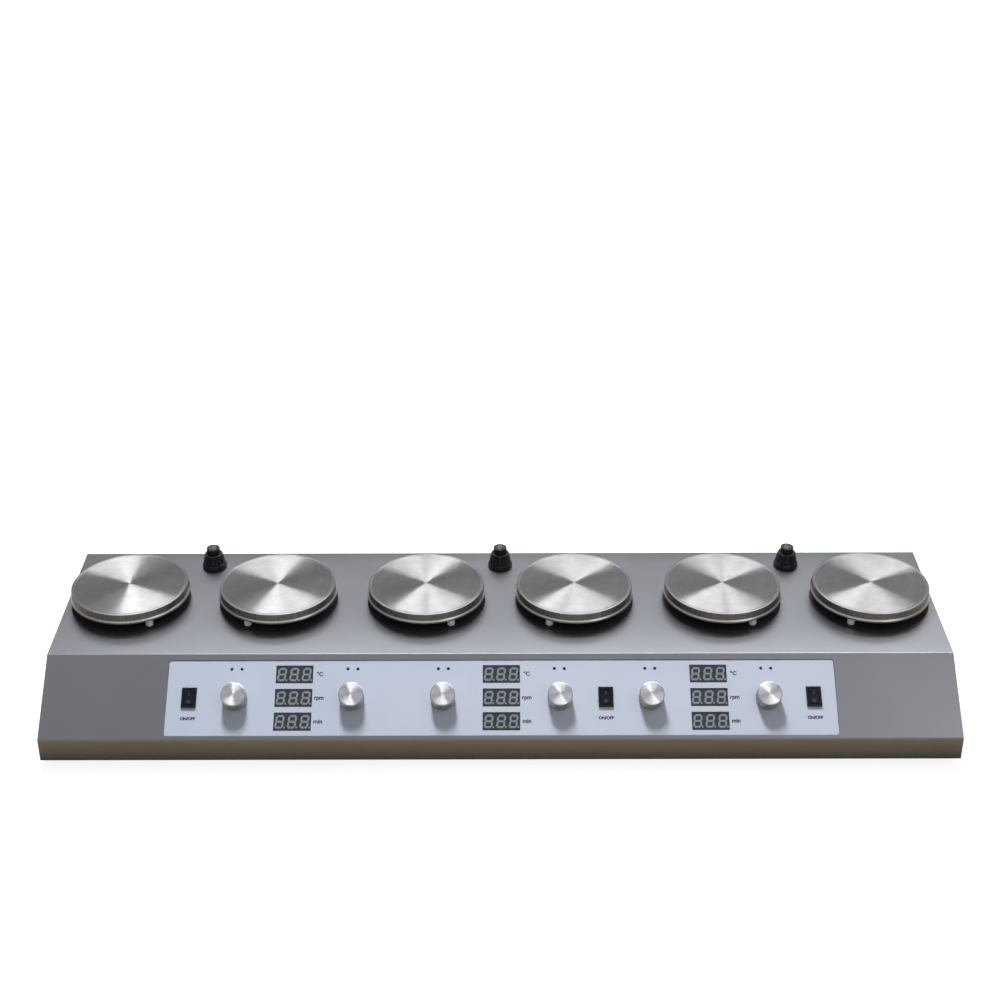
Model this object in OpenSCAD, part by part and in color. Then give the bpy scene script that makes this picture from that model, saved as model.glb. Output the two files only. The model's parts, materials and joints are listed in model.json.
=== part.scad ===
// Six-place hotplate stirrer: a long sheet-steel console with six heated plates on its deck,
// a stirring motor under each plate, and a sloped control panel along the front.
// Millimetres. +X runs along the console, +Y to the back, +Z up. The origin lies under the
// middle of the console, on the surface that it stands on.

/* [Console] */
// Gap between neighbouring hotplates
plate_gap = 32.2; // [28:0.2:60]
// Deck left beyond the outer hotplates at each end
end_margin = 5.3; // [3:0.1:40]
// Deck left in front of and behind the hotplates
plate_margin = 37.8; // [34:0.1:60]
// Level run of the sloped front
slope_run = 75; // [70:1:110]
// Height that the sloped front drops
slope_drop = 53; // [48:1:70]
// Height of the upright front lip
lip_h = 25; // [20:1:60]
// Thickness of the cover's sheet steel
sheet_t = 1.5; // [1:0.1:2]
// Outside radius of the cover's bends
bend_r = 3; // [2.2:0.1:4]
// Width of the cover's turned-in bottom flange
flange_w = 14; // [12:0.5:20]
// Thickness of the base plate
base_t = 1.5; // [1:0.1:3]
// How far the base plate stays inside the cover's outline
base_inset = 2; // [1:0.5:4]
// Height of the rubber feet
foot_h = 8; // [5:0.5:20]
// Width of a rubber foot where it meets the base plate
foot_d = 22; // [16:1:30]
// Distance of the feet's centres from the cover's edges
foot_inset = 36; // [26:1:60]
// How much narrower a rubber foot is at the floor, each side
foot_taper = 2; // [0:0.5:4]

/* [Hotplates] */
// Diameter of a hotplate
plate_d = 126.4; // [110:0.2:160]
// Thickness of a hotplate
plate_t = 11.7; // [10:0.1:20]
// Space between the deck and the underside of a hotplate
plate_lift = 10.8; // [9:0.1:20]
// How far the lower bead stands out from the plate's wall
bead_out = 1.5; // [0.3:0.1:2]
// Height of the lower bead
bead_h = 1.8; // [1:0.1:3]
// Width of the rim ring round the plate's top face
rim_w = 2.6; // [1.5:0.1:5]
// Width and depth of the turned line inside the rim ring
rim_line = 0.4; // [0.2:0.1:0.8]
// Chamfer of the plate's top edge
plate_chamfer = 0.8; // [0.3:0.1:1.5]
// How far a heat shield stands out past the plate
shield_out = 0; // [0:0.1:4]
// Thickness of a heat shield
shield_t = 1; // [0.5:0.1:2]
// Diameter of a ceramic post
post_d = 8; // [7:0.5:12]
// Distance from the plate's edge in to the posts' centres
post_inset = 8.2; // [6:0.1:12]
// Diameter of the screws through the posts
post_screw_d = 4; // [3:0.5:5]
// How far those screws reach into the plate
post_screw_reach = 6; // [4:0.5:8]
// Diameter of those screws' heads
post_screw_head_d = 7; // [6.5:0.1:8]
// Height of those screws' heads
post_screw_head_h = 2.6; // [2:0.1:4]
// Deck left between those screws' heads and the opening under the plate
deck_land = 7.5; // [3:0.5:12]
// Thickness of a heating element
heater_t = 4; // [2:0.5:6]
// Space between a heating element and the posts round it
heater_clear = 2.5; // [1:0.5:6]
// Diameter of a temperature sensor
sensor_d = 12; // [8:0.5:16]
// Height of a temperature sensor
sensor_h = 6; // [3:0.5:8]
// Space between a temperature sensor and the heating element round it
sensor_clear = 4; // [1:0.5:8]

/* [Stirring motors] */
// Diameter of the rotor bell
bell_d = 56; // [44:1:60]
// Height of the rotor bell
bell_h = 24; // [20:1:28]
// Thickness of the bell's skirt
bell_wall = 2.5; // [1.5:0.1:4]
// Thickness of the bell's top
bell_top_t = 4; // [3:0.5:6]
// Diameter of a drive magnet
magnet_d = 16; // [10:0.5:20]
// Thickness of a drive magnet
magnet_t = 12; // [6:0.5:12]
// Gap between the magnets and the heat shield above them
magnet_gap = 2; // [1:0.1:5]
// Diameter of the rotor shaft
rotor_shaft_d = 6; // [4:0.5:8]
// Length of the rotor shaft below the bell's top
rotor_shaft_l = 30; // [24:1:34]
// Diameter of the motor's foot flange
motor_foot_d = 70; // [60:1:80]
// Thickness of the motor's foot flange
motor_foot_t = 4; // [2:0.5:8]
// Diameter of the motor's column
motor_column_d = 36; // [26:1:40]
// Diameter of the bearing tube
bearing_tube_d = 12; // [10:0.5:16]
// Height of the stator coil
stator_h = 13; // [8:0.5:15]
// Air gap between the stator coil and the bell
stator_gap = 1; // [0.5:0.1:2]
// How far the bearing tube stands above the stator coil
bearing_tube_rise = 1; // [0.4:0.1:2]

/* [Control panel] */
// Distance between the columns of displays
group_pitch = 211; // [196:1:240]
// How far the panel's middle lies to the right of the console's
panel_shift = 1; // [-5:0.5:5]
// Panel left beyond the outer switches at each end
panel_side = 15.6; // [8:0.1:40]
// Sloped face left above the panel
panel_top = 6.9; // [6:0.1:12]
// Sloped face left below the panel
panel_bottom = 4.2; // [3.8:0.1:10]
// Corner radius of the panel window
panel_corner = 3; // [1:0.1:6]
// Thickness of the overlay
overlay_t = 0.8; // [0.4:0.1:1.2]
// Thickness of the backing plate
backing_t = 1.5; // [1:0.1:2]
// Overlap of the backing plate behind the window's edge
backing_lap = 2; // [1:0.1:2.4]
// Width of a display
display_w = 37.6; // [30:0.1:44]
// Height of a display
display_h = 19; // [14:0.1:21]
// Distance between a column's displays
row_pitch = 25.2; // [23:0.1:27]
// How far a display's face lies below the overlay's
display_sink = 0.3; // [0.1:0.1:0.6]
// Clear space between a display and a knob
knob_gap = 28; // [12:0.5:36]
// How far the knobs' axes lie below the panel's middle
knob_drop = 1.6; // [-6:0.1:6]
// Diameter of an indicator lamp
lamp_d = 3; // [2:0.1:5]
// Distance between the two lamps of a pair
lamp_pitch = 10.2; // [7:0.1:14]
// Height of the lamps above the panel's middle
lamp_rise = 31; // [26:0.1:34]
// Diameter of an indicator lamp's flattened tip
lamp_tip_d = 1.8; // [1:0.1:1.9]
// Height of an indicator lamp's tip above the overlay
lamp_tip_h = 0.45; // [0.2:0.05:1]
// Thickness of a control board
board_t = 1.6; // [1:0.1:2]
// Board left round the encoders and displays
board_margin = 3.3; // [1:0.1:5]

/* [Knobs and encoders] */
// Diameter of a knob
knob_d = 25; // [18:0.5:32]
// Height of a knob's face above the sloped face of the cover
knob_top = 16; // [14:0.1:22]
// Gap between a knob's underside and the overlay
knob_clear = 1.3; // [0.9:0.1:3]
// Chamfer of the knob's front edge
knob_chamfer = 0.7; // [0.3:0.1:1.5]
// Push travel of a knob
push_travel = 0.5; // [0.3:0.1:0.8]
// Metal left between the shaft's end and the knob's face
knob_face_t = 3; // [2:0.1:5]
// Space between the fixing nut and the knob's hollow underside
nut_space = 2; // [1:0.1:4]
// Width and depth of an encoder body across the panel
encoder_w = 12; // [11:0.5:16]
// Height of an encoder body between panel and board
encoder_h = 7; // [6.5:0.1:9]
// Diameter of the encoder's threaded bush
bush_d = 7; // [6.8:0.1:9]
// Length of the bush beyond the backing plate
bush_l = 6; // [5:0.1:6.5]
// Diameter of the encoder shaft
encoder_shaft_d = 6; // [4:0.1:6]
// Depth of each flat on the shaft's inner end
shaft_flat = 0.8; // [0.4:0.1:1]
// How far the shaft's end reaches below the wiper
shaft_tip = 0.4; // [0.2:0.1:0.8]
// Thickness of the wiper
wiper_t = 2.2; // [1.5:0.1:2.4]
// Wall of the encoder body round the wiper
encoder_wall = 0.9; // [0.6:0.1:1.2]
// Floor of the encoder body under the shaft
encoder_floor = 0.5; // [0.3:0.1:0.8]
// Width across the flats of the fixing nut
encoder_nut_af = 10; // [9.6:0.1:12]
// Thickness of the fixing nut
encoder_nut_t = 2; // [1.5:0.1:2.2]

/* [Rocker switches] */
// Width of a switch bezel
switch_w = 15; // [13:0.1:20]
// Height of a switch bezel
switch_h = 21; // [18:0.1:28]
// Thickness of a switch bezel
bezel_t = 2.2; // [1.5:0.1:3]
// Overlap of the bezel on the panel
bezel_lap = 1; // [0.6:0.1:1.4]
// Wall of the switch body
switch_wall = 1.3; // [1.1:0.1:2]
// Depth of the switch body behind the overlay
switch_depth = 14; // [12:0.5:20]
// Clear space between a knob and the switch next to it
switch_gap = 26.6; // [12:0.1:40]
// Angle that a rocker tips between off and on
rocker_throw = 16; // [10:1:20]
// Diameter of a rocker's pivot pins
rocker_pin_d = 2.4; // [1.6:0.1:3]
// How far the pivot lies below the overlay's face
rocker_pivot_sink = 0.4; // [0:0.1:2]
// Depth of a rocker below its pivot
rocker_depth = 4.9; // [3.5:0.1:5.5]
// Wall left outside the pivot pins' holes
pin_skin = 0.2; // [0.1:0.1:0.4]

/* [Rod holders] */
// Distance of the rod holders from the back edge of the deck
rod_inset = 30; // [24:1:36]
// Diameter of the rod hole
rod_hole_d = 8.5; // [6:0.1:9]
// Diameter of the holder's base
holder_base_d = 26.6; // [24:0.1:32]
// Height of the holder's base
holder_base_h = 6.4; // [4:0.1:9]
// Chamfer round the foot of the holder's base
holder_chamfer = 1.4; // [0.5:0.1:2]
// Height over which the base narrows to meet the grip nut
holder_shoulder = 2.9; // [1:0.1:3]
// Diameter of the holder's threaded neck
holder_neck_d = 16; // [15.5:0.1:17]
// Length of the holder's neck
holder_neck_l = 8; // [5:0.1:9]
// Diameter of the holder's tail through the deck
holder_tail_d = 14; // [13:0.1:16]
// Length of the holder's tail below the deck
holder_tail_l = 16; // [12:0.5:20]
// Floor under the rod in the holder's tail
holder_floor = 3; // [2:0.5:5]
// Wall of the collet round the rod
collet_wall = 1.2; // [0.8:0.1:1.5]
// Diameter of the grip nut at its foot
grip_foot_d = 24; // [21:0.1:26]
// Diameter of the grip nut at its shoulder
grip_top_d = 19.4; // [18.4:0.1:21]
// Height of the grip nut
grip_h = 11; // [9.6:0.1:14]
// Number of grooves round the grip nut
grip_grooves = 10; // [6:1:12]
// Diameter of a groove's cutter
grip_groove_d = 2.4; // [1.5:0.1:3]
// Distance between the grooves' ends and the shoulder
grip_groove_stop = 2.8; // [1:0.1:5]
// Diameter of the split collar
collar_d = 14.4; // [12.6:0.1:16]
// Height of the split collar
collar_h = 6.2; // [4:0.1:9]
// Width of the slits in the collar
collar_slit = 0.6; // [0.4:0.1:1.4]

/* [Mains and supply] */
// Width of the inlet's flange
inlet_w = 48; // [46:0.5:56]
// Height of the inlet's flange
inlet_h = 24; // [23:0.5:32]
// Thickness of the inlet's flange
inlet_flange_t = 3; // [2:0.1:4]
// Width of the inlet's body
inlet_body_w = 27; // [25.5:0.1:29]
// Height of the inlet's body
inlet_body_h = 19.6; // [19:0.1:22]
// Depth of the inlet's body inside the console
inlet_depth = 22; // [19:0.5:26]
// Wall of the inlet's body round its socket
inlet_wall = 1.5; // [1:0.1:2]
// Thickness of the socket's floor
inlet_floor = 7; // [4:0.5:9]
// Thickness of a contact pin
inlet_pin_t = 2; // [1.5:0.1:2.5]
// Breadth of a contact pin
inlet_pin_b = 4; // [3:0.1:4.5]
// Distance of the outer pins from the middle one, along the inlet
inlet_pin_pitch = 7; // [6:0.1:7.5]
// Distance of the pins above or below the inlet's middle
inlet_pin_offset = 2; // [1:0.1:2.5]
// Distance from the flange's face down to the pins' tips
inlet_pin_recess = 5; // [3:0.5:7]
// Distance of the inlet's screws from the ends of its flange
inlet_screw_inset = 4; // [3.4:0.1:6]
// Height of the inlet's middle above the base plate
inlet_rise = 38; // [18:1:50]
// Depth of the power supply unit
supply_d = 110; // [80:1:120]
// Height of the power supply unit
supply_h = 36; // [24:1:44]
// Clear space between the power supply unit and the motors beside it
supply_clear = 4.3; // [2:0.1:12]
// Height of the ventilation slots
vent_h = 26; // [10:1:40]
// Width of a ventilation slot
vent_w = 4; // [2:0.5:6]
// Number of slots in a group
vent_count = 8; // [3:1:12]
// Distance between neighbouring slots
vent_pitch = 8; // [7:0.5:14]

/* [Fasteners] */
// Number of base screws along the front and along the back
base_screws = 5; // [3:1:9]
// Diameter of the case screws
case_screw_d = 3; // [2.5:0.1:4]
// Diameter of the case screws' heads
case_screw_head_d = 5.6; // [5:0.1:6.2]
// Height of the case screws' heads
case_screw_head_h = 2; // [1.2:0.1:2]
// Length of the case screws' shanks
case_screw_l = 8; // [6:0.5:12]

/* [Fits] */
// Clearance of a part in its cut-out, each side
fit = 0.3; // [0.2:0.05:0.4]
// Radial clearance of a running shaft or a screw in its hole
running = 0.05; // [0.02:0.01:0.1]
// Radial clearance of a screw in a through hole
screw_slack = 0.2; // [0.1:0.05:0.4]

/* [Hidden] */
$fn = 96;
stations = 6;
groups = 3;
rows = 3;
posts = 3;
// Side of its column of displays on which each switch sits
switch_side = [-1, 1, 1];

plate_pitch = plate_d + plate_gap;
case_w = (stations - 1) * plate_pitch + plate_d + 2 * end_margin;
deck_d = plate_d + 2 * plate_margin;
case_d = slope_run + deck_d;
case_h = lip_h + slope_drop;
slope_angle = atan2(slope_drop, slope_run);
slope_len = norm([slope_run, slope_drop]);

case_z = foot_h + base_t;
deck_z = case_z + case_h;
fold_z = case_z + lip_h;
front_y = -(case_d + inlet_flange_t) / 2;
bend_y = front_y + slope_run;
back_y = front_y + case_d;
plate_y = bend_y + deck_d / 2;
plate_z = deck_z + plate_lift;

post_r = plate_d / 2 - post_inset;
post_angle = 60;
screw_hole_d = post_screw_d + 2 * screw_slack;
shield_d = plate_d + 2 * shield_out;
deck_hole_d = 2 * (post_r - post_screw_head_d / 2 - deck_land);
heater_d = 2 * (post_r - post_d / 2 - heater_clear);
heater_hole_d = sensor_d + 2 * sensor_clear;

magnet_top = deck_z - magnet_gap;
bell_top = magnet_top - magnet_t;
bell_foot = bell_top - bell_h;
bell_ceiling = bell_top - bell_top_t;
magnet_r = (bell_d - magnet_d) / 2;
stator_d = bell_d - 2 * (bell_wall + stator_gap);
bearing_tube_top = bell_ceiling - fit;
column_top = bearing_tube_top - stator_h - bearing_tube_rise;

panel_h = slope_len - panel_top - panel_bottom;
panel_mid = panel_top + panel_h / 2;
knob_offset = display_w / 2 + knob_gap + knob_d / 2;
switch_offset = knob_offset + knob_d / 2 + switch_gap + switch_w / 2;
panel_w = 2 * (group_pitch + switch_offset + switch_w / 2 + panel_side);
overlay_back = -sheet_t;
overlay_face = overlay_back + overlay_t;
backing_back = overlay_back - backing_t;
board_face = backing_back - encoder_h;
board_w = 2 * (knob_offset + encoder_w / 2 + board_margin);
board_h = 2 * (row_pitch + display_h / 2 + board_margin);
display_face = overlay_face - display_sink;

knob_foot = overlay_face + knob_clear;
knob_recess_d = encoder_nut_af / cos(30) + 2 * nut_space;
knob_recess_top = backing_back + bush_l + push_travel + 2 * fit;
encoder_shaft_top = knob_top - knob_face_t;
encoder_well_foot = board_face + encoder_floor;
encoder_shaft_end = encoder_well_foot + fit + push_travel;
encoder_flat_w = encoder_shaft_d - 2 * shaft_flat;
wiper_d = encoder_w - 2 * (encoder_wall + fit);
wiper_foot = encoder_shaft_end + shaft_tip;
wiper_top = wiper_foot + wiper_t;
encoder_flat_top = wiper_top + push_travel + fit;

switch_body_w = switch_w - 2 * bezel_lap;
switch_body_h = switch_h - 2 * bezel_lap;
rocker_w = switch_body_w - 2 * switch_wall - 2 * fit;
rocker_r = switch_body_h / 2 - switch_wall - fit;
rocker_pivot = overlay_face - rocker_pivot_sink;
rocker_rise = bezel_t + rocker_pivot_sink - fit;
pin_hole_l = rocker_w + 2 * (fit + switch_wall - pin_skin);
switch_cavity = rocker_r + fit;

holder_y = back_y - rod_inset;
collet_d = rod_hole_d + 2 * collet_wall;
grip_foot = holder_base_h + fit;
grip_top = grip_foot + grip_h;
collar_foot = grip_top + fit;
collar_top = collar_foot + collar_h;
collet_foot = holder_floor - holder_tail_l;

inlet_x = plate_pitch;
inlet_z = case_z + inlet_rise;
vent_x = 1.5 * plate_pitch;
inlet_socket_w = inlet_body_w - 2 * inlet_wall;
inlet_socket_h = inlet_body_h - 2 * inlet_wall;
inlet_socket_foot = inlet_floor - inlet_depth;
inlet_screw_pitch = inlet_w - 2 * inlet_screw_inset;
inlet_pins = [[-1, 1], [0, -1], [1, 1]];
supply_w = plate_pitch - motor_foot_d - 2 * supply_clear;

// How far cutters run past the faces that they cut
over = 1;

function plate_x(i) = (i - (stations + 1) / 2) * plate_pitch;
function group_x(g) = panel_shift + (g - (groups + 1) / 2) * group_pitch;
function knob_x(i) = group_x(ceil(i / 2)) + (i % 2 == 1 ? -1 : 1) * knob_offset;
function switch_x(g) = group_x(g) + switch_side[g - 1] * switch_offset;
function holder_x(g) = (g - (groups + 1) / 2) * 2 * plate_pitch;
function post_turn(i, k) = (i % 2 == 1 ? -post_angle : post_angle - 180) + k * 360 / posts;
function base_screw_x(k) = (k / (base_screws - 1) - 0.5) * (case_w - 2 * foot_inset);

// Corners of the cover's section, t inside its outer faces, as [y, z]
function fold_corner(t) = [front_y + t, fold_z + t * tan(slope_angle) - t / cos(slope_angle)];
function bend_corner(t) = [bend_y + (t / cos(slope_angle) - t) / tan(slope_angle), deck_z - t];

// Puts its children at a hotplate's centre
module at_station(i) { translate([plate_x(i), plate_y, 0]) children(); }

// Puts its children at each post of one hotplate
module at_posts(i) {
    at_station(i) for (k = [0 : posts - 1])
        rotate([0, 0, post_turn(i, k)]) translate([post_r, 0, 0]) children();
}

// Puts its children on the sloped face: x along it, down from its upper bend, z out of it
module on_slope(x, down) {
    translate([0, bend_y, deck_z]) rotate([slope_angle, 0, 0]) translate([x, -down, 0]) children();
}

module at_knob(i) { on_slope(knob_x(i), panel_mid + knob_drop) children(); }
module at_switch(g) { on_slope(switch_x(g), panel_mid) children(); }
module at_holder(g) { translate([holder_x(g), holder_y, deck_z]) children(); }

// Puts its children at each display
module at_displays() {
    for (g = [1 : groups], r = [-1 : rows - 2]) on_slope(group_x(g), panel_mid + r * row_pitch) children();
}

// Puts its children at each indicator lamp
module at_lamps() {
    for (i = [1 : stations], s = [-0.5, 0.5])
        on_slope(knob_x(i) + s * lamp_pitch, panel_mid - lamp_rise) children();
}

// Puts its children at each base screw
module at_base_screws() {
    for (k = [0 : base_screws - 1], y = [front_y + flange_w / 2 + sheet_t, back_y - flange_w / 2 - sheet_t])
        translate([base_screw_x(k), y, 0]) children();
}

// Puts its children on the back wall at the mains inlet, z out of the wall
module at_inlet() { translate([inlet_x, back_y, inlet_z]) rotate([-90, 0, 0]) children(); }

// Puts its children at each of the inlet's screws
module at_inlet_screws() {
    for (side = [-0.5, 0.5]) at_inlet() translate([side * inlet_screw_pitch, 0, 0]) children();
}

// Block centred on the Z axis, from z = low to z = high
module block(w, d, low, high) { translate([-w / 2, -d / 2, low]) cube([w, d, high - low]); }

// Round bar on the Z axis, from z = low to z = high
module bar(d, low, high) { translate([0, 0, low]) cylinder(d = d, h = high - low); }

// Block with rounded upright edges
module rounded_block(w, d, r, low, high) {
    block(w, d - 2 * r, low, high);
    block(w - 2 * r, d, low, high);
    for (x = [-1, 1], y = [-1, 1])
        translate([x * (w / 2 - r), y * (d / 2 - r), 0]) bar(2 * r, low, high);
}

// Solid of the cover t inside its outer faces, bends rounded to r, foot at z = low, w wide along X
module cover_solid(t, r, low, w) {
    fold = fold_corner(t);
    bend = bend_corner(t);
    up_slope = [cos(slope_angle), sin(slope_angle)];
    fold_cut = r * tan((90 - slope_angle) / 2);
    bend_cut = r * tan(slope_angle / 2);
    back = back_y - t;
    fold_centre = [front_y + t + r, fold[1] - fold_cut];
    bend_centre = [bend[0] + bend_cut, deck_z - t - r];
    back_centre = [back - r, deck_z - t - r];
    rotate([90, 0, 90]) translate([0, 0, -w / 2]) {
        linear_extrude(w) polygon([
            [front_y + t, low],
            fold - [0, fold_cut],
            fold_centre,
            fold + fold_cut * up_slope,
            bend - bend_cut * up_slope,
            bend_centre,
            bend + [bend_cut, 0],
            [back - r, deck_z - t],
            back_centre,
            [back, deck_z - t - r],
            [back, low]
        ]);
        for (centre = [fold_centre, bend_centre, back_centre]) translate(centre) cylinder(r = r, h = w);
    }
}

module case_cover() color([0.55, 0.55, 0.57]) difference() {
    cover_solid(0, bend_r, case_z, case_w);
    cover_solid(sheet_t, bend_r - sheet_t, case_z + sheet_t, case_w - 2 * sheet_t);
    translate([0, (front_y + back_y) / 2, 0])
        block(case_w - 2 * flange_w, case_d - 2 * flange_w, case_z - over, case_z + 2 * sheet_t);
    at_base_screws() bar(case_screw_d + 2 * running, case_z - over, case_z + 2 * sheet_t);
    on_slope(panel_shift, panel_mid)
        rounded_block(panel_w, panel_h, panel_corner, -2 * sheet_t, sheet_t);
    for (i = [1 : stations]) {
        at_station(i) bar(deck_hole_d, deck_z - 2 * sheet_t, deck_z + over);
        at_posts(i) bar(screw_hole_d, deck_z - 2 * sheet_t, deck_z + over);
    }
    for (g = [1 : groups]) at_holder(g) bar(holder_tail_d + 2 * fit, -2 * sheet_t, over);
    at_inlet() block(inlet_body_w + 2 * fit, inlet_body_h + 2 * fit, -2 * sheet_t, over);
    at_inlet_screws() bar(case_screw_d + 2 * running, -2 * sheet_t, over);
    for (side = [-1, 1], k = [0 : vent_count - 1])
        translate([side * vent_x + (k - (vent_count - 1) / 2) * vent_pitch, back_y, inlet_z])
            rotate([90, 0, 0]) block(vent_w, vent_h, -over, 2 * sheet_t);
}

module base_plate() color([0.5, 0.5, 0.52]) difference() {
    translate([0, (front_y + back_y) / 2, 0])
        block(case_w - 2 * base_inset, case_d - 2 * base_inset, foot_h, case_z);
    at_base_screws() bar(case_screw_d + 2 * screw_slack, foot_h - over, case_z + over);
}

module rubber_feet() color([0.1, 0.1, 0.1])
    for (x = [-1, 0, 1], y = [front_y + foot_inset, back_y - foot_inset])
        translate([x * (case_w / 2 - foot_inset), y, 0])
            cylinder(d1 = foot_d - 2 * foot_taper, d2 = foot_d, h = foot_h);

module case_screws() color([0.7, 0.7, 0.7]) {
    at_base_screws() {
        bar(case_screw_head_d, foot_h - case_screw_head_h, foot_h);
        bar(case_screw_d, foot_h - case_screw_head_h, foot_h - case_screw_head_h + case_screw_l);
    }
    at_inlet_screws() {
        translate([0, 0, inlet_flange_t - case_screw_head_h]) sunk_head(0);
        bar(case_screw_d, inlet_flange_t - case_screw_l, inlet_flange_t);
    }
}

// Countersunk screw head, wider than the real one by clear all round
module sunk_head(clear) {
    cylinder(d1 = case_screw_d + 2 * clear, d2 = case_screw_head_d + 2 * clear, h = case_screw_head_h);
}

// Openings of the panel, wider than what passes through them by clear on each side
module panel_openings(clear, low, high) {
    at_displays() block(display_w + 2 * clear, display_h + 2 * clear, low, high);
    at_lamps() bar(lamp_d + 2 * clear, low, high);
    for (i = [1 : stations]) at_knob(i) bar(bush_d + 2 * clear, low, high);
    for (g = [1 : groups]) at_switch(g)
        block(switch_body_w + 2 * clear, switch_body_h + 2 * clear, low, high);
}

module panel_backing() color([0.6, 0.6, 0.6]) difference() {
    on_slope(panel_shift, panel_mid)
        block(panel_w + 2 * backing_lap, panel_h + 2 * backing_lap, backing_back, overlay_back);
    panel_openings(fit, backing_back - over, overlay_back + over);
}

module panel_overlay() color([0.78, 0.81, 0.87]) difference() {
    on_slope(panel_shift, panel_mid) rounded_block(
        panel_w - 2 * fit, panel_h - 2 * fit, panel_corner - fit, overlay_back, overlay_face);
    panel_openings(fit / 2, overlay_back - over, overlay_face + over);
}

module control_boards() color([0.1, 0.35, 0.2]) for (g = [1 : groups])
    on_slope(group_x(g), panel_mid) block(board_w, board_h, board_face - board_t, board_face);

module displays() color([0.22, 0.24, 0.27])
    at_displays() block(display_w, display_h, board_face, display_face);

module indicator_lamps() color([0.08, 0.08, 0.12]) at_lamps() {
    bar(lamp_d, board_face, overlay_face);
    translate([0, 0, overlay_face]) cylinder(d1 = lamp_d, d2 = lamp_tip_d, h = lamp_tip_h);
}

module encoder_bodies() color([0.4, 0.4, 0.42]) for (i = [1 : stations]) at_knob(i) difference() {
    union() {
        block(encoder_w, encoder_w, board_face, backing_back);
        bar(bush_d, backing_back, backing_back + bush_l);
    }
    bar(wiper_d + 2 * fit, wiper_foot - fit, wiper_top + fit);
    bar(encoder_shaft_d + 2 * fit, encoder_well_foot, wiper_foot);
    bar(encoder_shaft_d + 2 * running, wiper_top, knob_top);
}

module encoder_nuts() color([0.75, 0.75, 0.7]) for (i = [1 : stations]) at_knob(i) difference() {
    translate([0, 0, overlay_face]) cylinder(d = encoder_nut_af / cos(30), h = encoder_nut_t, $fn = 6);
    bar(bush_d + 2 * running, overlay_face - over, overlay_face + encoder_nut_t + over);
}

// Round bar with two flats, as the encoder's shaft has inside its wiper
module flatted_bar(d, flat, low, high) {
    intersection() {
        bar(d, low, high);
        block(flat, 2 * d, low, high);
    }
}

module encoder_wiper(i) color([0.85, 0.8, 0.65]) at_knob(i) difference() {
    bar(wiper_d, wiper_foot, wiper_top);
    flatted_bar(
        encoder_shaft_d + 2 * running, encoder_flat_w + 2 * running, wiper_foot - over, wiper_top + over);
}

module encoder_shaft(i) color([0.75, 0.75, 0.77]) at_knob(i) {
    flatted_bar(encoder_shaft_d, encoder_flat_w, encoder_shaft_end, encoder_flat_top);
    bar(encoder_shaft_d, encoder_flat_top, encoder_shaft_top);
}

module knob(i) color([0.8, 0.8, 0.82]) at_knob(i) difference() {
    union() {
        bar(knob_d, knob_foot, knob_top - knob_chamfer);
        translate([0, 0, knob_top - knob_chamfer])
            cylinder(d1 = knob_d, d2 = knob_d - 2 * knob_chamfer, h = knob_chamfer);
    }
    bar(knob_recess_d, knob_foot - over, knob_recess_top);
    bar(encoder_shaft_d + 2 * running, knob_foot, encoder_shaft_top + fit);
}

module switch_bodies() color([0.08, 0.09, 0.12]) for (g = [1 : groups]) at_switch(g) difference() {
    union() {
        block(switch_w, switch_h, overlay_face, overlay_face + bezel_t);
        block(switch_body_w, switch_body_h, overlay_face - switch_depth, overlay_face + bezel_t);
    }
    block(
        rocker_w + 2 * fit, 2 * switch_cavity, rocker_pivot - switch_cavity, overlay_face + bezel_t + over);
    translate([0, 0, rocker_pivot]) rotate([0, 90, 0])
        bar(rocker_pin_d + 2 * running, -pin_hole_l / 2, pin_hole_l / 2);
}

// Rocker section across its pivot: ends round the pivot, top a shallow valley of two flats
module rocker_section() {
    reach = 2 * rocker_r;
    valley = rocker_rise + reach * tan(rocker_throw / 2);
    intersection() {
        circle(rocker_r);
        polygon([
            [-reach, valley],
            [0, rocker_rise],
            [reach, valley],
            [reach, -rocker_depth],
            [-reach, -rocker_depth]
        ]);
    }
}

module rocker(g) color([0.05, 0.05, 0.08]) at_switch(g) translate([0, 0, rocker_pivot])
    rotate([rocker_throw / 2, 0, 0]) {
        rotate([90, 0, 90]) translate([0, 0, -rocker_w / 2]) linear_extrude(rocker_w) rocker_section();
        rotate([0, 90, 0]) bar(rocker_pin_d, fit - pin_hole_l / 2, pin_hole_l / 2 - fit);
    }

module hotplates() color([0.75, 0.75, 0.74]) for (i = [1 : stations]) {
    difference() {
        at_station(i) translate([0, 0, plate_z]) hotplate_disc();
        at_posts(i) bar(post_screw_d + 2 * running, plate_z - over, plate_z + post_screw_reach + fit);
    }
}

// One turned plate, its underside at z = 0
module hotplate_disc() {
    bead_r = plate_d / 2;
    wall_r = bead_r - bead_out;
    face_r = wall_r - rim_w;
    rotate_extrude() polygon([
        [0, 0],
        [bead_r, 0],
        [bead_r, bead_h],
        [wall_r, bead_h + bead_out],
        [wall_r, plate_t - plate_chamfer],
        [wall_r - plate_chamfer, plate_t],
        [face_r, plate_t],
        [face_r, plate_t - rim_line],
        [face_r - rim_line, plate_t - rim_line],
        [face_r - rim_line, plate_t],
        [0, plate_t]
    ]);
}

module heating_elements() color([0.6, 0.5, 0.35]) for (i = [1 : stations]) at_station(i) difference() {
    bar(heater_d, plate_z - heater_t, plate_z);
    bar(heater_hole_d, plate_z - heater_t - over, plate_z + over);
}

module temperature_sensors() color([0.8, 0.7, 0.5]) for (i = [1 : stations]) at_station(i)
    bar(sensor_d, plate_z - sensor_h, plate_z);

module heat_shields() color([0.06, 0.06, 0.06]) for (i = [1 : stations]) difference() {
    at_station(i) bar(shield_d, deck_z, deck_z + shield_t);
    at_posts(i) bar(screw_hole_d, deck_z - over, deck_z + shield_t + over);
}

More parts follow.
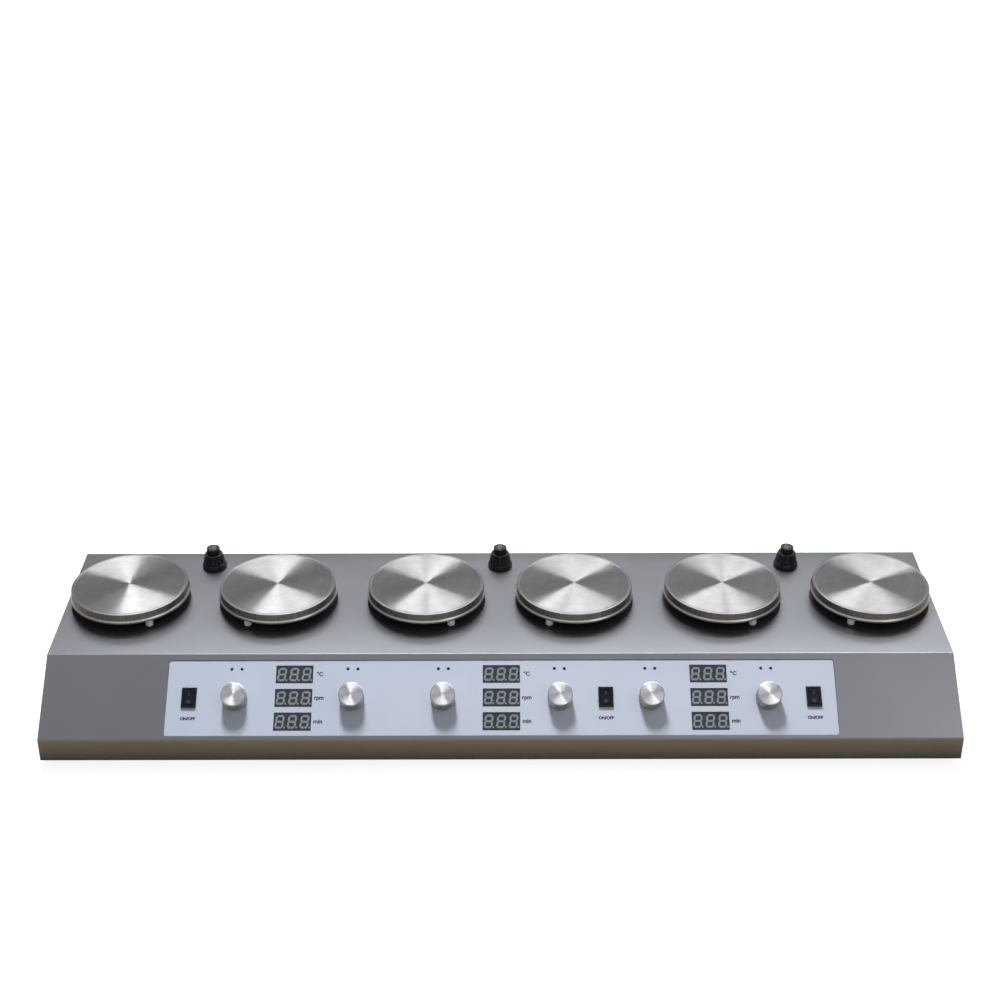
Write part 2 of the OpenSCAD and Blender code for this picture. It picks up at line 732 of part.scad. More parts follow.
module ceramic_posts() color([0.93, 0.93, 0.9]) for (i = [1 : stations]) at_posts(i) difference() {
    bar(post_d, deck_z + shield_t, plate_z);
    bar(screw_hole_d, deck_z, plate_z + over);
}

module post_screws() color([0.7, 0.7, 0.72]) for (i = [1 : stations]) at_posts(i) {
    bar(post_screw_head_d, deck_z - sheet_t - post_screw_head_h, deck_z - sheet_t);
    bar(post_screw_d, deck_z - sheet_t - post_screw_head_h, plate_z + post_screw_reach);
}

module motor_bases() color([0.35, 0.36, 0.38]) for (i = [1 : stations]) at_station(i) difference() {
    union() {
        bar(motor_foot_d, case_z, case_z + motor_foot_t);
        bar(motor_column_d, case_z, column_top);
        bar(bearing_tube_d, case_z, bearing_tube_top);
    }
    bar(rotor_shaft_d + 2 * running, bell_top - rotor_shaft_l - over, bell_top);
}

module stator_coils() color([0.72, 0.42, 0.2]) for (i = [1 : stations]) at_station(i) difference() {
    bar(stator_d, column_top, column_top + stator_h);
    bar(bearing_tube_d + 2 * running, column_top - over, column_top + stator_h + over);
}

module rotor_bell(i) color([0.5, 0.52, 0.55]) at_station(i) {
    difference() {
        bar(bell_d, bell_foot, bell_top);
        bar(bell_d - 2 * bell_wall, bell_foot - over, bell_ceiling);
    }
    bar(rotor_shaft_d, bell_top - rotor_shaft_l, bell_top);
}

module drive_magnets(i) color([0.3, 0.3, 0.33]) at_station(i)
    for (s = [-1, 1]) translate([s * magnet_r, 0, 0]) bar(magnet_d, bell_top, magnet_top);

module rod_holders() color([0.07, 0.07, 0.08]) for (g = [1 : groups]) at_holder(g) difference() {
    union() {
        holder_base();
        bar(holder_neck_d, 0, holder_base_h + holder_neck_l);
        bar(holder_tail_d, -holder_tail_l, over);
    }
    bar(collet_d + 2 * running, collet_foot, holder_base_h + holder_neck_l + over);
}

// Foot of a rod holder, with its edge rounded over by a chamfer at top and bottom
module holder_base() {
    r = holder_base_d / 2;
    rotate_extrude() polygon([
        [0, 0],
        [r - holder_chamfer, 0],
        [r, holder_chamfer],
        [r, holder_base_h - holder_shoulder],
        [grip_foot_d / 2, holder_base_h],
        [0, holder_base_h]
    ]);
}

module rod_collets() color([0.1, 0.1, 0.11]) for (g = [1 : groups]) at_holder(g) difference() {
    union() {
        bar(collet_d, collet_foot, collar_top);
        bar(collar_d, collar_foot, collar_top);
    }
    bar(rod_hole_d, collet_foot - over, collar_top + over);
    for (turn = [45, 135]) rotate([0, 0, turn])
        block(collar_slit, 2 * collar_d, holder_base_h, collar_top + over);
}

module grip_nut(g) color([0.07, 0.07, 0.08]) at_holder(g) difference() {
    translate([0, 0, grip_foot]) cylinder(d1 = grip_foot_d, d2 = grip_top_d, h = grip_h);
    bar(holder_neck_d + 2 * running, grip_foot - over, holder_base_h + holder_neck_l + fit);
    bar(collet_d + 2 * fit, grip_foot, grip_top + over);
    for (k = [0 : grip_grooves - 1]) rotate([0, 0, k * 360 / grip_grooves])
        translate([grip_foot_d / 2, 0, 0]) bar(grip_groove_d, grip_foot - over, grip_top - grip_groove_stop);
}

module power_inlet() color([0.07, 0.07, 0.07]) {
    difference() {
        at_inlet() {
            block(inlet_w, inlet_h, 0, inlet_flange_t);
            block(inlet_body_w, inlet_body_h, -inlet_depth, inlet_flange_t);
        }
        at_inlet() block(inlet_socket_w, inlet_socket_h, inlet_socket_foot, inlet_flange_t + over);
        at_inlet_screws() {
            bar(case_screw_d + 2 * screw_slack, -over, inlet_flange_t);
            translate([0, 0, inlet_flange_t - case_screw_head_h]) sunk_head(running);
        }
    }
    at_inlet() for (pin = inlet_pins)
        translate([pin[0] * inlet_pin_pitch, pin[1] * inlet_pin_offset, 0])
            block(inlet_pin_t, inlet_pin_b, inlet_socket_foot - over, inlet_flange_t - inlet_pin_recess);
}

module power_supply() color([0.7, 0.7, 0.68]) translate([plate_pitch, plate_y, 0])
    block(supply_w, supply_d, case_z, case_z + supply_h);

case_cover();
base_plate();
rubber_feet();
case_screws();
panel_backing();
panel_overlay();
control_boards();
displays();
indicator_lamps();
encoder_bodies();
encoder_nuts();
switch_bodies();
hotplates();
heating_elements();
temperature_sensors();
heat_shields();
ceramic_posts();
post_screws();
motor_bases();
stator_coils();
rod_holders();
rod_collets();
power_inlet();
power_supply();
for (i = [1 : stations]) {
    rotor_bell(i);
    drive_magnets(i);
    encoder_wiper(i);
    encoder_shaft(i);
    knob(i);
}
for (g = [1 : groups]) {
    rocker(g);
    grip_nut(g);
}
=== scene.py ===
import json
import math

import bmesh
import bpy
from mathutils import Matrix, Vector

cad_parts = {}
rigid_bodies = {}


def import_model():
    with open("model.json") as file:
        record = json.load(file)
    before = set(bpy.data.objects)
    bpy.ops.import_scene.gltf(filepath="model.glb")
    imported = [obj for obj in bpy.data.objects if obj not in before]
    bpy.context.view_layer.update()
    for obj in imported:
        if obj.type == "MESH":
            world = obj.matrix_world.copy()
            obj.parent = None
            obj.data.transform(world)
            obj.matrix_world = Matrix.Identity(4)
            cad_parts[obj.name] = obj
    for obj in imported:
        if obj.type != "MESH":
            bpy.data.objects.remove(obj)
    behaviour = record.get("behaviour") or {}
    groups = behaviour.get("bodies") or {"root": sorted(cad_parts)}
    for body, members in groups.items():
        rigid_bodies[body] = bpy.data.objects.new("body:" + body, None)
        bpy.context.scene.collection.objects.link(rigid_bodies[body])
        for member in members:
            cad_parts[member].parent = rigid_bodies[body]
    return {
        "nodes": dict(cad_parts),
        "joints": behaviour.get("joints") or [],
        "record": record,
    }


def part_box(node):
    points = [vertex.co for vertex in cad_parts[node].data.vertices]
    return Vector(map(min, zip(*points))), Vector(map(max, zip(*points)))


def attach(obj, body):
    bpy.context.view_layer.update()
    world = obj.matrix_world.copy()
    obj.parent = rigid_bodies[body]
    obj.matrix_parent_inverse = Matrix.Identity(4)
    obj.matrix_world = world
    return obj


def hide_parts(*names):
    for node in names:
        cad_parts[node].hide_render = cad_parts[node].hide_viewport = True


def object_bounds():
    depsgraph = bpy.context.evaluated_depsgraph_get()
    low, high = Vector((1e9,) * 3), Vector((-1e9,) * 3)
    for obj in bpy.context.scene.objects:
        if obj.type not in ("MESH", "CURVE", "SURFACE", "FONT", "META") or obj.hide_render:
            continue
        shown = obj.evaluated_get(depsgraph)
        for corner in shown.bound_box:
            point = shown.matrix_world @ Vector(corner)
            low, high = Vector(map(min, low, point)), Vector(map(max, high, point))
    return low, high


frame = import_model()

cad_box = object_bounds()


# Base plate
# A flat sheet of mild steel, powder coated in the cover's grey. It closes the console from below and
# is screwed up against the cover's turned-in flanges.

MM = 0.001


def plug(node, inputs):
    """Sets a node's inputs, each to a plain value or to another node's output."""
    for socket, value in inputs.items():
        if isinstance(value, bpy.types.NodeSocket):
            node.id_data.links.new(value, node.inputs[socket])
        else:
            node.inputs[socket].default_value = value


def add(tree, kind, inputs=None, **settings):
    """A new shader node with its settings and inputs."""
    node = tree.nodes.new("ShaderNode" + kind)
    for setting, value in settings.items():
        setattr(node, setting, value)
    plug(node, inputs or {})
    return node


def math_node(tree, operation, *values):
    """The result of one sum on values or other nodes' outputs."""
    return add(tree, "Math", dict(enumerate(values)), operation=operation).outputs[0]


def between(tree, factor, low, high):
    """A value that runs from low to high as factor runs from 0 to 1."""
    node = add(tree, "MapRange", {"Value": factor, "To Min": low, "To Max": high})
    return node.outputs["Result"]


def tint(tree, factor, first, second):
    """A colour that runs from the first to the second as factor runs from 0 to 1."""
    node = add(tree, "Mix", {"Factor": factor, "A": (*first, 1), "B": (*second, 1)}, data_type="RGBA")
    return node.outputs["Result"]


def relief(tree, height, depth_mm):
    """The normal of a surface whose height, from 0 to 1, stands for this depth."""
    bump = add(tree, "Bump", {"Height": height, "Distance": depth_mm * MM, "Strength": 1.0})
    return bump.outputs["Normal"]


def stretched(tree, noise):
    """A noise's value, stretched from where most of it lies to the whole of 0 to 1."""
    noise_low = 0.3
    noise_high = 0.7
    node = add(tree, "MapRange", {
        "Value": noise.outputs[0], "From Min": noise_low, "From Max": noise_high})
    return node.outputs["Result"]


def effect(name, inputs, outputs):
    """An empty shader effect with named values in and out."""
    tree = bpy.data.node_groups.new(name, "ShaderNodeTree")
    for socket, value in inputs.items():
        made = tree.interface.new_socket(socket, in_out="INPUT", socket_type="NodeSocketFloat")
        made.default_value = value
    for socket in outputs:
        tree.interface.new_socket(socket, in_out="OUTPUT", socket_type="NodeSocketFloat")
    return tree, tree.nodes.new("NodeGroupInput"), tree.nodes.new("NodeGroupOutput")


def surface_grain():
    """Fine grain and broad clouds over a surface, both from 0 to 1. Sizes are in millimetres."""
    tree, given, result = effect(
        "surface_grain", {"Grain size": 1.0, "Cloud size": 60.0}, ["Grain", "Clouds"])
    place = add(tree, "TexCoord").outputs["Object"]
    grain_scale = math_node(tree, "DIVIDE", 1 / MM, given.outputs["Grain size"])
    cloud_scale = math_node(tree, "DIVIDE", 1 / MM, given.outputs["Cloud size"])
    grain = add(tree, "TexNoise", {"Vector": place, "Scale": grain_scale, "Detail": 2.0})
    clouds = add(tree, "TexNoise", {"Vector": place, "Scale": cloud_scale, "Detail": 4.0, "Roughness": 0.6})
    plug(result, {"Grain": grain.outputs[0], "Clouds": stretched(tree, clouds)})
    return tree


grain_effect = surface_grain()


def placed(tree, group, inputs):
    """An effect placed in a material, with its own values."""
    node = add(tree, "Group", node_tree=group)
    plug(node, inputs)
    return node


def finish(name, sockets):
    """A new material: its node tree and its shader, with the sockets that are the same all over."""
    made = bpy.data.materials.new(name)
    made.use_nodes = True
    shader = made.node_tree.nodes["Principled BSDF"]
    plug(shader, sockets)
    return made, made.node_tree, shader


def grained(name, sockets, light, dark, rough, grain_mm, depth_mm, cloud_mm):
    """A finish with two tones in soft clouds, a roughness range and a fine grain that catches the light."""
    made, tree, shader = finish(name, sockets)
    grain = placed(tree, grain_effect, {"Grain size": grain_mm, "Cloud size": cloud_mm})
    clouds = grain.outputs["Clouds"]
    plug(shader, {
        "Base Color": tint(tree, clouds, dark, light),
        "Roughness": between(tree, clouds, *rough),
        "Normal": relief(tree, grain.outputs["Grain"], depth_mm)})
    return made


def coat(node, material):
    """Gives a piece of the frame its finish."""
    slots = frame["nodes"][node].data.materials
    slots.clear()
    slots.append(material)


def powder_coat():
    """Grey powder coat with fine metal flake: satin, with the faint ripple of baked powder."""
    flake_mm = 0.35
    flake_share = 0.35
    made, tree, shader = finish("grey_powder_coat", {"Metallic": 0.92, "Specular IOR Level": 0.5})
    grain = placed(tree, grain_effect, {"Grain size": 1.6, "Cloud size": 130.0})
    clouds = grain.outputs["Clouds"]
    place = add(tree, "TexCoord").outputs["Object"]
    flake = add(tree, "TexVoronoi", {"Vector": place, "Scale": 1 / (flake_mm * MM)})
    flake_tone = add(tree, "SeparateColor", {"Color": flake.outputs["Color"]}).outputs[0]
    cloud_tone = math_node(tree, "MULTIPLY", clouds, 1 - flake_share)
    tone = math_node(tree, "MULTIPLY_ADD", flake_tone, flake_share, cloud_tone)
    plug(shader, {
        "Base Color": tint(tree, tone, first=(0.270, 0.277, 0.305), second=(0.298, 0.306, 0.335)),
        "Roughness": between(tree, clouds, low=0.345, high=0.375),
        "Normal": relief(tree, grain.outputs["Grain"], depth_mm=0.012)})
    return made


paint = powder_coat()
coat("base_plate", paint)


# Rubber feet
# Six moulded black rubber feet, a little narrower at the floor, each held through a sunk hole by a
# screw and washer that the rubber hides.

bodies = frame["record"]["behaviour"]["bodies"]
body_of = {node: body for body, nodes in bodies.items() for node in nodes}
touching = 0.001 * MM
sharp_from = math.radians(42)


def corners_of(points):
    """Lowest and highest corner of some points."""
    return Vector(map(min, zip(*points))), Vector(map(max, zip(*points)))


def middle(points):
    """The point halfway between the lowest and the highest corner of some points."""
    low, high = corners_of(points)
    return (low + high) / 2


def solids(node):
    """The points of each separate solid in a node of the frame, from left to right and front to back."""
    order_digits = 4
    work = bmesh.new()
    work.from_mesh(frame["nodes"][node].data)
    bmesh.ops.remove_doubles(work, verts=work.verts, dist=touching)
    found = []
    left = set(work.verts)
    while left:
        edge_of_search = [left.pop()]
        points = []
        while edge_of_search:
            vertex = edge_of_search.pop()
            points.append(vertex.co.copy())
            near = {edge.other_vert(vertex) for edge in vertex.link_edges} & left
            left -= near
            edge_of_search.extend(near)
        found.append(points)
    work.free()
    return sorted(found, key=lambda points: tuple(round(c, order_digits) for c in middle(points)))


def span(points, direction):
    """How far some points lie along a direction, nearest and farthest."""
    along = [point.dot(direction) for point in points]
    return min(along), max(along)


def round_sizes(points):
    """Radius and height, in millimetres, of a round piece that stands upright."""
    low, high = corners_of(points)
    return (high.x - low.x) / 2 / MM, (high.z - low.z) / MM


def standing_at(points):
    """The place at the middle of some points, at their lowest height."""
    centre = middle(points)
    return Matrix.Translation((centre.x, centre.y, corners_of(points)[0].z))


def rounded(corners):
    """The outline through corners given as (radius, height, fillet), in millimetres, in metres."""
    fillet_steps = 4
    outline = []
    for index, (radius, height, fillet) in enumerate(corners):
        here = Vector((radius, height))
        if not fillet:
            outline.append(here * MM)
            continue
        back = (Vector(corners[index - 1][:2]) - here).normalized()
        onward = (Vector(corners[(index + 1) % len(corners)][:2]) - here).normalized()
        half = back.angle(onward) / 2
        centre = here + (back + onward).normalized() * fillet / math.sin(half)
        start = here + back * fillet / math.tan(half) - centre
        end = here + onward * fillet / math.tan(half) - centre
        for step in range(fillet_steps + 1):
            outline.append((centre + start.slerp(end, step / fillet_steps) * fillet) * MM)
    return outline


def to_mesh(work, name):
    """A new mesh from finished work."""
    mesh = bpy.data.meshes.new(name)
    work.to_mesh(mesh)
    work.free()
    return mesh


def lathe(name, outline, sides, closed=False, carve=None):
    """A mesh turned round Z. A closed outline makes a ring. carve may change the radius at a turn."""
    work = bmesh.new()
    rings = []
    for radius, height in outline:
        if radius < touching:
            rings.append([work.verts.new((0, 0, height))])
            continue
        ring = []
        for side in range(sides):
            turn = 2 * math.pi * side / sides
            reach = carve(turn, radius, height) if carve else radius
            ring.append(work.verts.new((reach * math.cos(turn), reach * math.sin(turn), height)))
        rings.append(ring)
    if closed:
        rings.append(rings[0])
    for low, high in zip(rings, rings[1:]):
        for side in range(sides):
            onward = side + 1
            face_corners = [
                low[side % len(low)], low[onward % len(low)],
                high[onward % len(high)], high[side % len(high)]]
            work.faces.new(list(dict.fromkeys(face_corners)))
    bmesh.ops.recalc_face_normals(work, faces=work.faces)
    return to_mesh(work, name)


def new_piece(name, mesh, place=Matrix()):
    """A new object for a mesh, smooth but for its sharp corners, at its place."""
    for polygon in mesh.polygons:
        polygon.use_smooth = True
    mesh.set_sharp_from_angle(angle=sharp_from)
    piece = bpy.data.objects.new(name, mesh)
    bpy.context.scene.collection.objects.link(piece)
    piece.matrix_world = place
    return piece


def dress(piece, node, *materials):
    """The piece stands for a node of the frame: it moves with it, hides it, and has these finishes."""
    for material in materials:
        piece.data.materials.append(material)
    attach(piece, body_of[node])
    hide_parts(node)


foot_rubber = grained(
    "foot_rubber", {"Specular IOR Level": 0.35}, light=(0.035, 0.034, 0.033), dark=(0.022, 0.022, 0.022),
    rough=(0.7, 0.85), grain_mm=0.5, depth_mm=0.02, cloud_mm=8.0)
foot_hole_r = 3.5
foot_hole_depth = 3.0
foot_hole_round = 0.5
foot_floor_round = 1.2
foot_top_round = 0.3
near_floor = 0.1 * MM
for number, points in enumerate(solids("rubber_feet"), 1):
    foot_top_r, foot_h = round_sizes(points)
    floor_z = corners_of(points)[0].z
    floor_points = [point - middle(points) for point in points if point.z < floor_z + near_floor]
    foot_floor_r = max(point.xy.length for point in floor_points) / MM
    foot_outline = rounded([
        (0, foot_hole_depth, 0), (foot_hole_r, foot_hole_depth, 0), (foot_hole_r, 0, foot_hole_round),
        (foot_floor_r, 0, foot_floor_round), (foot_top_r, foot_h, foot_top_round), (0, foot_h, 0)])
    foot_mesh = lathe("rubber_foot", foot_outline, sides=64)
    foot = new_piece(f"rubber_foot_{number}", foot_mesh, standing_at(points))
    dress(foot, "rubber_feet", foot_rubber)


# Case cover
# One sheet of steel bent to deck, sloped front and upright lip, with end plates welded in, ground
# flush and powder coated. The bends and the ground edges are softly rounded under the coat.

flat_within = math.radians(0.2)
round_from = math.radians(35)


def softened(node, name, *materials, radius_mm, segments=2):
    """A copy of a piece with its sharp edges rounded off, in its place."""
    work = bmesh.new()
    work.from_mesh(frame["nodes"][node].data)
    bmesh.ops.remove_doubles(work, verts=work.verts, dist=touching)
    bmesh.ops.dissolve_limit(
        work, angle_limit=flat_within, verts=work.verts, edges=work.edges, use_dissolve_boundaries=False)
    mesh = to_mesh(work, name)
    if "custom_normal" in mesh.attributes:
        mesh.attributes.remove(mesh.attributes["custom_normal"])
    piece = new_piece(name, mesh)
    edge = piece.modifiers.new("rounded_edges", "BEVEL")
    edge.width = radius_mm * MM
    edge.segments = segments
    edge.limit_method = "ANGLE"
    edge.angle_limit = round_from
    edge.harden_normals = True
    dress(piece, node, *materials)
    return piece


softened("case_cover", "cover_shell", paint, radius_mm=0.5)


# Case screws
# Zinc-plated steel machine screws with crossed drive slots: pan heads under the base plate and
# countersunk heads in the flange of the mains inlet.

zinc = grained(
    "zinc_plate", {"Metallic": 1.0}, light=(0.62, 0.62, 0.63), dark=(0.5, 0.5, 0.49), rough=(0.28, 0.42),
    grain_mm=0.4, depth_mm=0.006, cloud_mm=6.0)
screw_points = solids("case_screws")
head_r, shank_l = round_sizes(screw_points[0])
head_h = 2.0
shank_r = 1.5
shank_round = 0.3
pan_foot_round = 0.1
pan_top_round = 1.1
sunk_edge = 0.1
sunk_round = 0.05
slot_l = 1.2 * head_r * MM
slot_w = 0.22 * slot_l
slot_depth = 0.9 * MM
screw_turn = 0.7
shank = [(0, -shank_l, 0), (shank_r, -shank_l, shank_round), (shank_r, -head_h, 0)]


def cross_slotted(name, head):
    """The mesh of a plated screw whose head, with its top at 0, has a crossed slot cut into it."""
    screw = new_piece(name, lathe(name, rounded(shank + head), sides=48))
    work = bmesh.new()
    for length, breadth in ((slot_l, slot_w), (slot_w, slot_l)):
        bmesh.ops.create_cube(work, size=1, matrix=Matrix.Diagonal((length, breadth, 2 * slot_depth, 1)))
    cutter = new_piece("slot_cutter", to_mesh(work, "slot_cutter"))
    cut = screw.modifiers.new("slot", "BOOLEAN")
    cut.operation = "DIFFERENCE"
    cut.object = cutter
    cut.use_self = True
    bpy.context.view_layer.update()
    carved = bpy.data.meshes.new_from_object(screw.evaluated_get(bpy.context.evaluated_depsgraph_get()))
    for spent in (screw, cutter):
        bpy.data.objects.remove(spent)
    carved.name = name
    carved.materials.append(zinc)
    return carved


pan_screw = cross_slotted(
    "pan_screw", [(head_r, -head_h, pan_foot_round), (head_r, 0, pan_top_round), (0, 0, 0)])
sunk_screw = cross_slotted(
    "sunk_screw", [(head_r, -sunk_edge, sunk_round), (head_r, 0, sunk_round), (0, 0, 0)])
head_down = Matrix.Rotation(math.pi, 4, "X")
head_back = Matrix.Rotation(-math.pi / 2, 4, "X")
for number, points in enumerate(screw_points, 1):
    low, high = corners_of(points)
    centre = middle(points)
    if high.z - low.z > high.y - low.y:
        mesh = pan_screw
        place = standing_at(points) @ head_down
    else:
        mesh = sunk_screw
        place = Matrix.Translation((centre.x, high.y, centre.z)) @ head_back
    turn = Matrix.Rotation(number * screw_turn, 4, "Z")
    dress(new_piece(f"case_screw_{number}", mesh, place @ turn), "case_screws")


# Panel backing, control boards and encoders
# Behind the sloped face lie a plated steel backing plate, three circuit boards with solder mask, and
# six rotary encoders with die-cast bodies, plated nuts, moulded wipers and ground steel shafts.

board_mask = grained(
    "solder_mask", {"Coat Weight": 0.3}, light=(0.03, 0.16, 0.07), dark=(0.02, 0.11, 0.05),
    rough=(0.3, 0.42), grain_mm=2.5, depth_mm=0.02, cloud_mm=12.0)
cast_alloy = grained(
    "cast_alloy", {"Metallic": 1.0}, light=(0.46, 0.47, 0.48), dark=(0.36, 0.37, 0.38), rough=(0.45, 0.6),
    grain_mm=0.7, depth_mm=0.03, cloud_mm=15.0)
ground_steel = grained(
    "ground_steel", {"Metallic": 1.0}, light=(0.62, 0.62, 0.63), dark=(0.54, 0.54, 0.56), rough=(0.2, 0.32),
    grain_mm=0.3, depth_mm=0.004, cloud_mm=10.0)
natural_nylon = grained(
    "natural_nylon", {"Subsurface Weight": 0.1}, light=(0.78, 0.74, 0.63), dark=(0.7, 0.66, 0.56),
    rough=(0.4, 0.5), grain_mm=0.5, depth_mm=0.01, cloud_mm=8.0)
stations = range(1, 7)
coat("panel_backing", zinc)
coat("control_boards", board_mask)
coat("encoder_bodies", cast_alloy)
coat("encoder_nuts", zinc)
for number in stations:
    coat(f"encoder_wiper_{number}", natural_nylon)
    coat(f"encoder_shaft_{number}", ground_steel)


# Panel overlay
# A pale matt film with a cool tint, die cut and stuck to the backing plate inside the window of the
# cover. Small dark unit marks are printed beside each display and under each switch.

def overlay_film():
    """Matt film: a cool pale print that drifts between two soft tints along the panel."""
    made, tree, shader = finish("overlay_film", {"Specular IOR Level": 0.4})
    marks = placed(tree, grain_effect, {"Grain size": 0.25, "Cloud size": 260.0}).outputs
    plug(shader, {
        "Base Color": tint(tree, marks["Clouds"], first=(0.505, 0.57, 0.70), second=(0.575, 0.625, 0.745)),
        "Roughness": between(tree, marks["Grain"], low=0.42, high=0.5),
        "Normal": relief(tree, marks["Grain"], depth_mm=0.004)})
    return made


softened("panel_overlay", "overlay_film", overlay_film(), radius_mm=0.12, segments=1)
joints = {joint["name"]: joint for joint in frame["joints"]}
out_of_panel = Vector(joints["knob_1_turn"]["axis"]).normalized()
along_panel = Vector((1, 0, 0))
up_panel = out_of_panel.cross(along_panel)
panel_turn = Matrix((along_panel, up_panel, out_of_panel)).transposed().to_4x4()
overlay_points = solids("panel_overlay")[0]
overlay_out = span(overlay_points, out_of_panel)[1]
panel_up = sum(span(overlay_points, up_panel)) / 2


def on_panel(x, up, out=0.0):
    """The place of something on the overlay's face: x along it, up from its middle, out of its face."""
    point = along_panel * x + up_panel * (panel_up + up) + out_of_panel * (overlay_out + out)
    return Matrix.Translation(point) @ panel_turn


printed_ink = grained(
    "printed_ink", {"Specular IOR Level": 0.3}, light=(0.045, 0.052, 0.08), dark=(0.03, 0.035, 0.055),
    rough=(0.5, 0.6), grain_mm=0.3, depth_mm=0.002, cloud_mm=3.0)
ink_t = 0.01 * MM
ink_spread = 0.25 * MM


def printed(name, text, size, place):
    """A printed mark: thin raised letters, centred on their place."""
    letters = bpy.data.curves.new(name, "FONT")
    letters.body = text
    letters.size = size
    letters.align_x = "CENTER"
    letters.align_y = "CENTER"
    letters.extrude = ink_t
    letters.offset = ink_spread
    proof = bpy.data.objects.new(name, letters)
    bpy.context.scene.collection.objects.link(proof)
    bpy.context.view_layer.update()
    mesh = bpy.data.meshes.new_from_object(proof.evaluated_get(bpy.context.evaluated_depsgraph_get()))
    bpy.data.objects.remove(proof)
    mark = new_piece(name, mesh, place)
    mesh.materials.append(printed_ink)
    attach(mark, "console")


# Displays
# Nine three-digit seven-segment modules, unlit: a dark tinted block whose face shows the pale grey
# segments of leaning figures, each with a point at its foot.

display_face = grained(
    "display_face", {"Specular IOR Level": 0.5}, light=(0.028, 0.032, 0.042), dark=(0.023, 0.027, 0.036),
    rough=(0.32, 0.4), grain_mm=0.4, depth_mm=0.004, cloud_mm=20.0)
display_segment = grained(
    "display_segment", {"Specular IOR Level": 0.4}, light=(0.27, 0.29, 0.325), dark=(0.225, 0.245, 0.28),
    rough=(0.35, 0.45), grain_mm=0.3, depth_mm=0.003, cloud_mm=4.0)
digit_h = 14.2 * MM
digit_w = 8.9 * MM
digit_pitch = 12.6 * MM
digit_lean = math.tan(math.radians(7))
segment_w = 2.0 * MM
segment_gap = 0.1 * MM
segment_t = 0.05 * MM
point_r = 1.0 * MM
point_out = 1.1 * MM
point_sides = 16


def segment_corners(centre, length, upright):
    """The six corners of one segment, pointed at both ends."""
    half = length / 2 - segment_gap
    side = segment_w / 2
    shape = [(-half, 0), (side - half, side), (half - side, side), (half, 0), (half - side, -side),
             (side - half, -side)]
    return [(centre[0] + (-v if upright else u), centre[1] + (u if upright else v)) for u, v in shape]


def point_corners(centre):
    """The corners of a figure's round point."""
    turns = [2 * math.pi * k / point_sides for k in range(point_sides)]
    return [(centre[0] + point_r * math.cos(turn), centre[1] + point_r * math.sin(turn)) for turn in turns]


def figure_outlines():
    """The outlines of one figure's seven segments and its point, before it leans."""
    across = digit_w - segment_w
    down = (digit_h - segment_w) / 2
    outlines = [segment_corners((0, row * down), across, False) for row in (-1, 0, 1)]
    for side in (-1, 1):
        for row in (-1, 1):
            outlines.append(segment_corners((side * across / 2, row * down / 2), down, True))
    outlines.append(point_corners((digit_w / 2 + point_out, -digit_h / 2 + point_r)))
    return outlines


def figures_mesh():
    """Three figures side by side, as thin plates."""
    work = bmesh.new()
    for place in (-1, 0, 1):
        for outline in figure_outlines():
            flat = [(place * digit_pitch + u + v * digit_lean, v) for u, v in outline]
            top = [work.verts.new((u, v, segment_t)) for u, v in flat]
            foot = [work.verts.new((u, v, -segment_t)) for u, v in flat]
            work.faces.new(top)
            for k in range(len(flat)):
                work.faces.new([foot[k - 1], foot[k], top[k], top[k - 1]])
    bmesh.ops.recalc_face_normals(work, faces=work.faces)
    return to_mesh(work, "display_figures")


softened("displays", "display_blocks", display_face, radius_mm=0.25)
figures = figures_mesh()
figures.materials.append(display_segment)
figure_shift = -0.3 * MM
unit_size = 6.0 * MM
unit_gap = 7.0 * MM
# From the lowest display of a column to the highest
unit_names = ["min", "rpm", "°C"]
for number, points in enumerate(solids("displays")):
    low_x, high_x = span(points, along_panel)
    x = (low_x + high_x) / 2 + figure_shift
    up = sum(span(points, up_panel)) / 2 - panel_up
    out = span(points, out_of_panel)[1] - overlay_out
    shown = new_piece(f"display_figures_{number + 1}", figures, on_panel(x, up, out))
    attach(shown, "console")
    unit_name = unit_names[number % len(unit_names)]
    printed(f"unit_mark_{number + 1}", unit_name, unit_size, on_panel(high_x + unit_gap, up))


# Indicator lamps
# Twelve small round lamps, a pair above each knob: dark tinted lenses, unlit, that stand just proud
# of the overlay.

lamp_lens = grained(
    "lamp_lens", {"Coat Weight": 0.4, "Coat Roughness": 0.1}, light=(0.010, 0.010, 0.022),
    dark=(0.007, 0.007, 0.016), rough=(0.2, 0.28), grain_mm=0.5, depth_mm=0.002, cloud_mm=2.0)
lamp_r = 1.5
lamp_dome = 0.45
lamp_round = 0.9
lamp_sunk = 4.0
lens_outline = rounded([
    (0, -lamp_sunk, 0), (lamp_r, -lamp_sunk, 0), (lamp_r, lamp_dome, lamp_round), (0, lamp_dome, 0)])
lens = lathe("lamp_lens", lens_outline, sides=40)
lens.materials.append(lamp_lens)
for number, points in enumerate(solids("indicator_lamps"), 1):
    x = sum(span(points, along_panel)) / 2
    up = sum(span(points, up_panel)) / 2 - panel_up
    dress(new_piece(f"indicator_lamp_{number}", lens, on_panel(x, up)), "indicator_lamps")


# Rocker switches
# Three snap-in rocker switches of glossy black moulding. Each bezel lies on the overlay, and its
# rocker tips on two moulded pins and carries a raised bar for on and a ring for off.

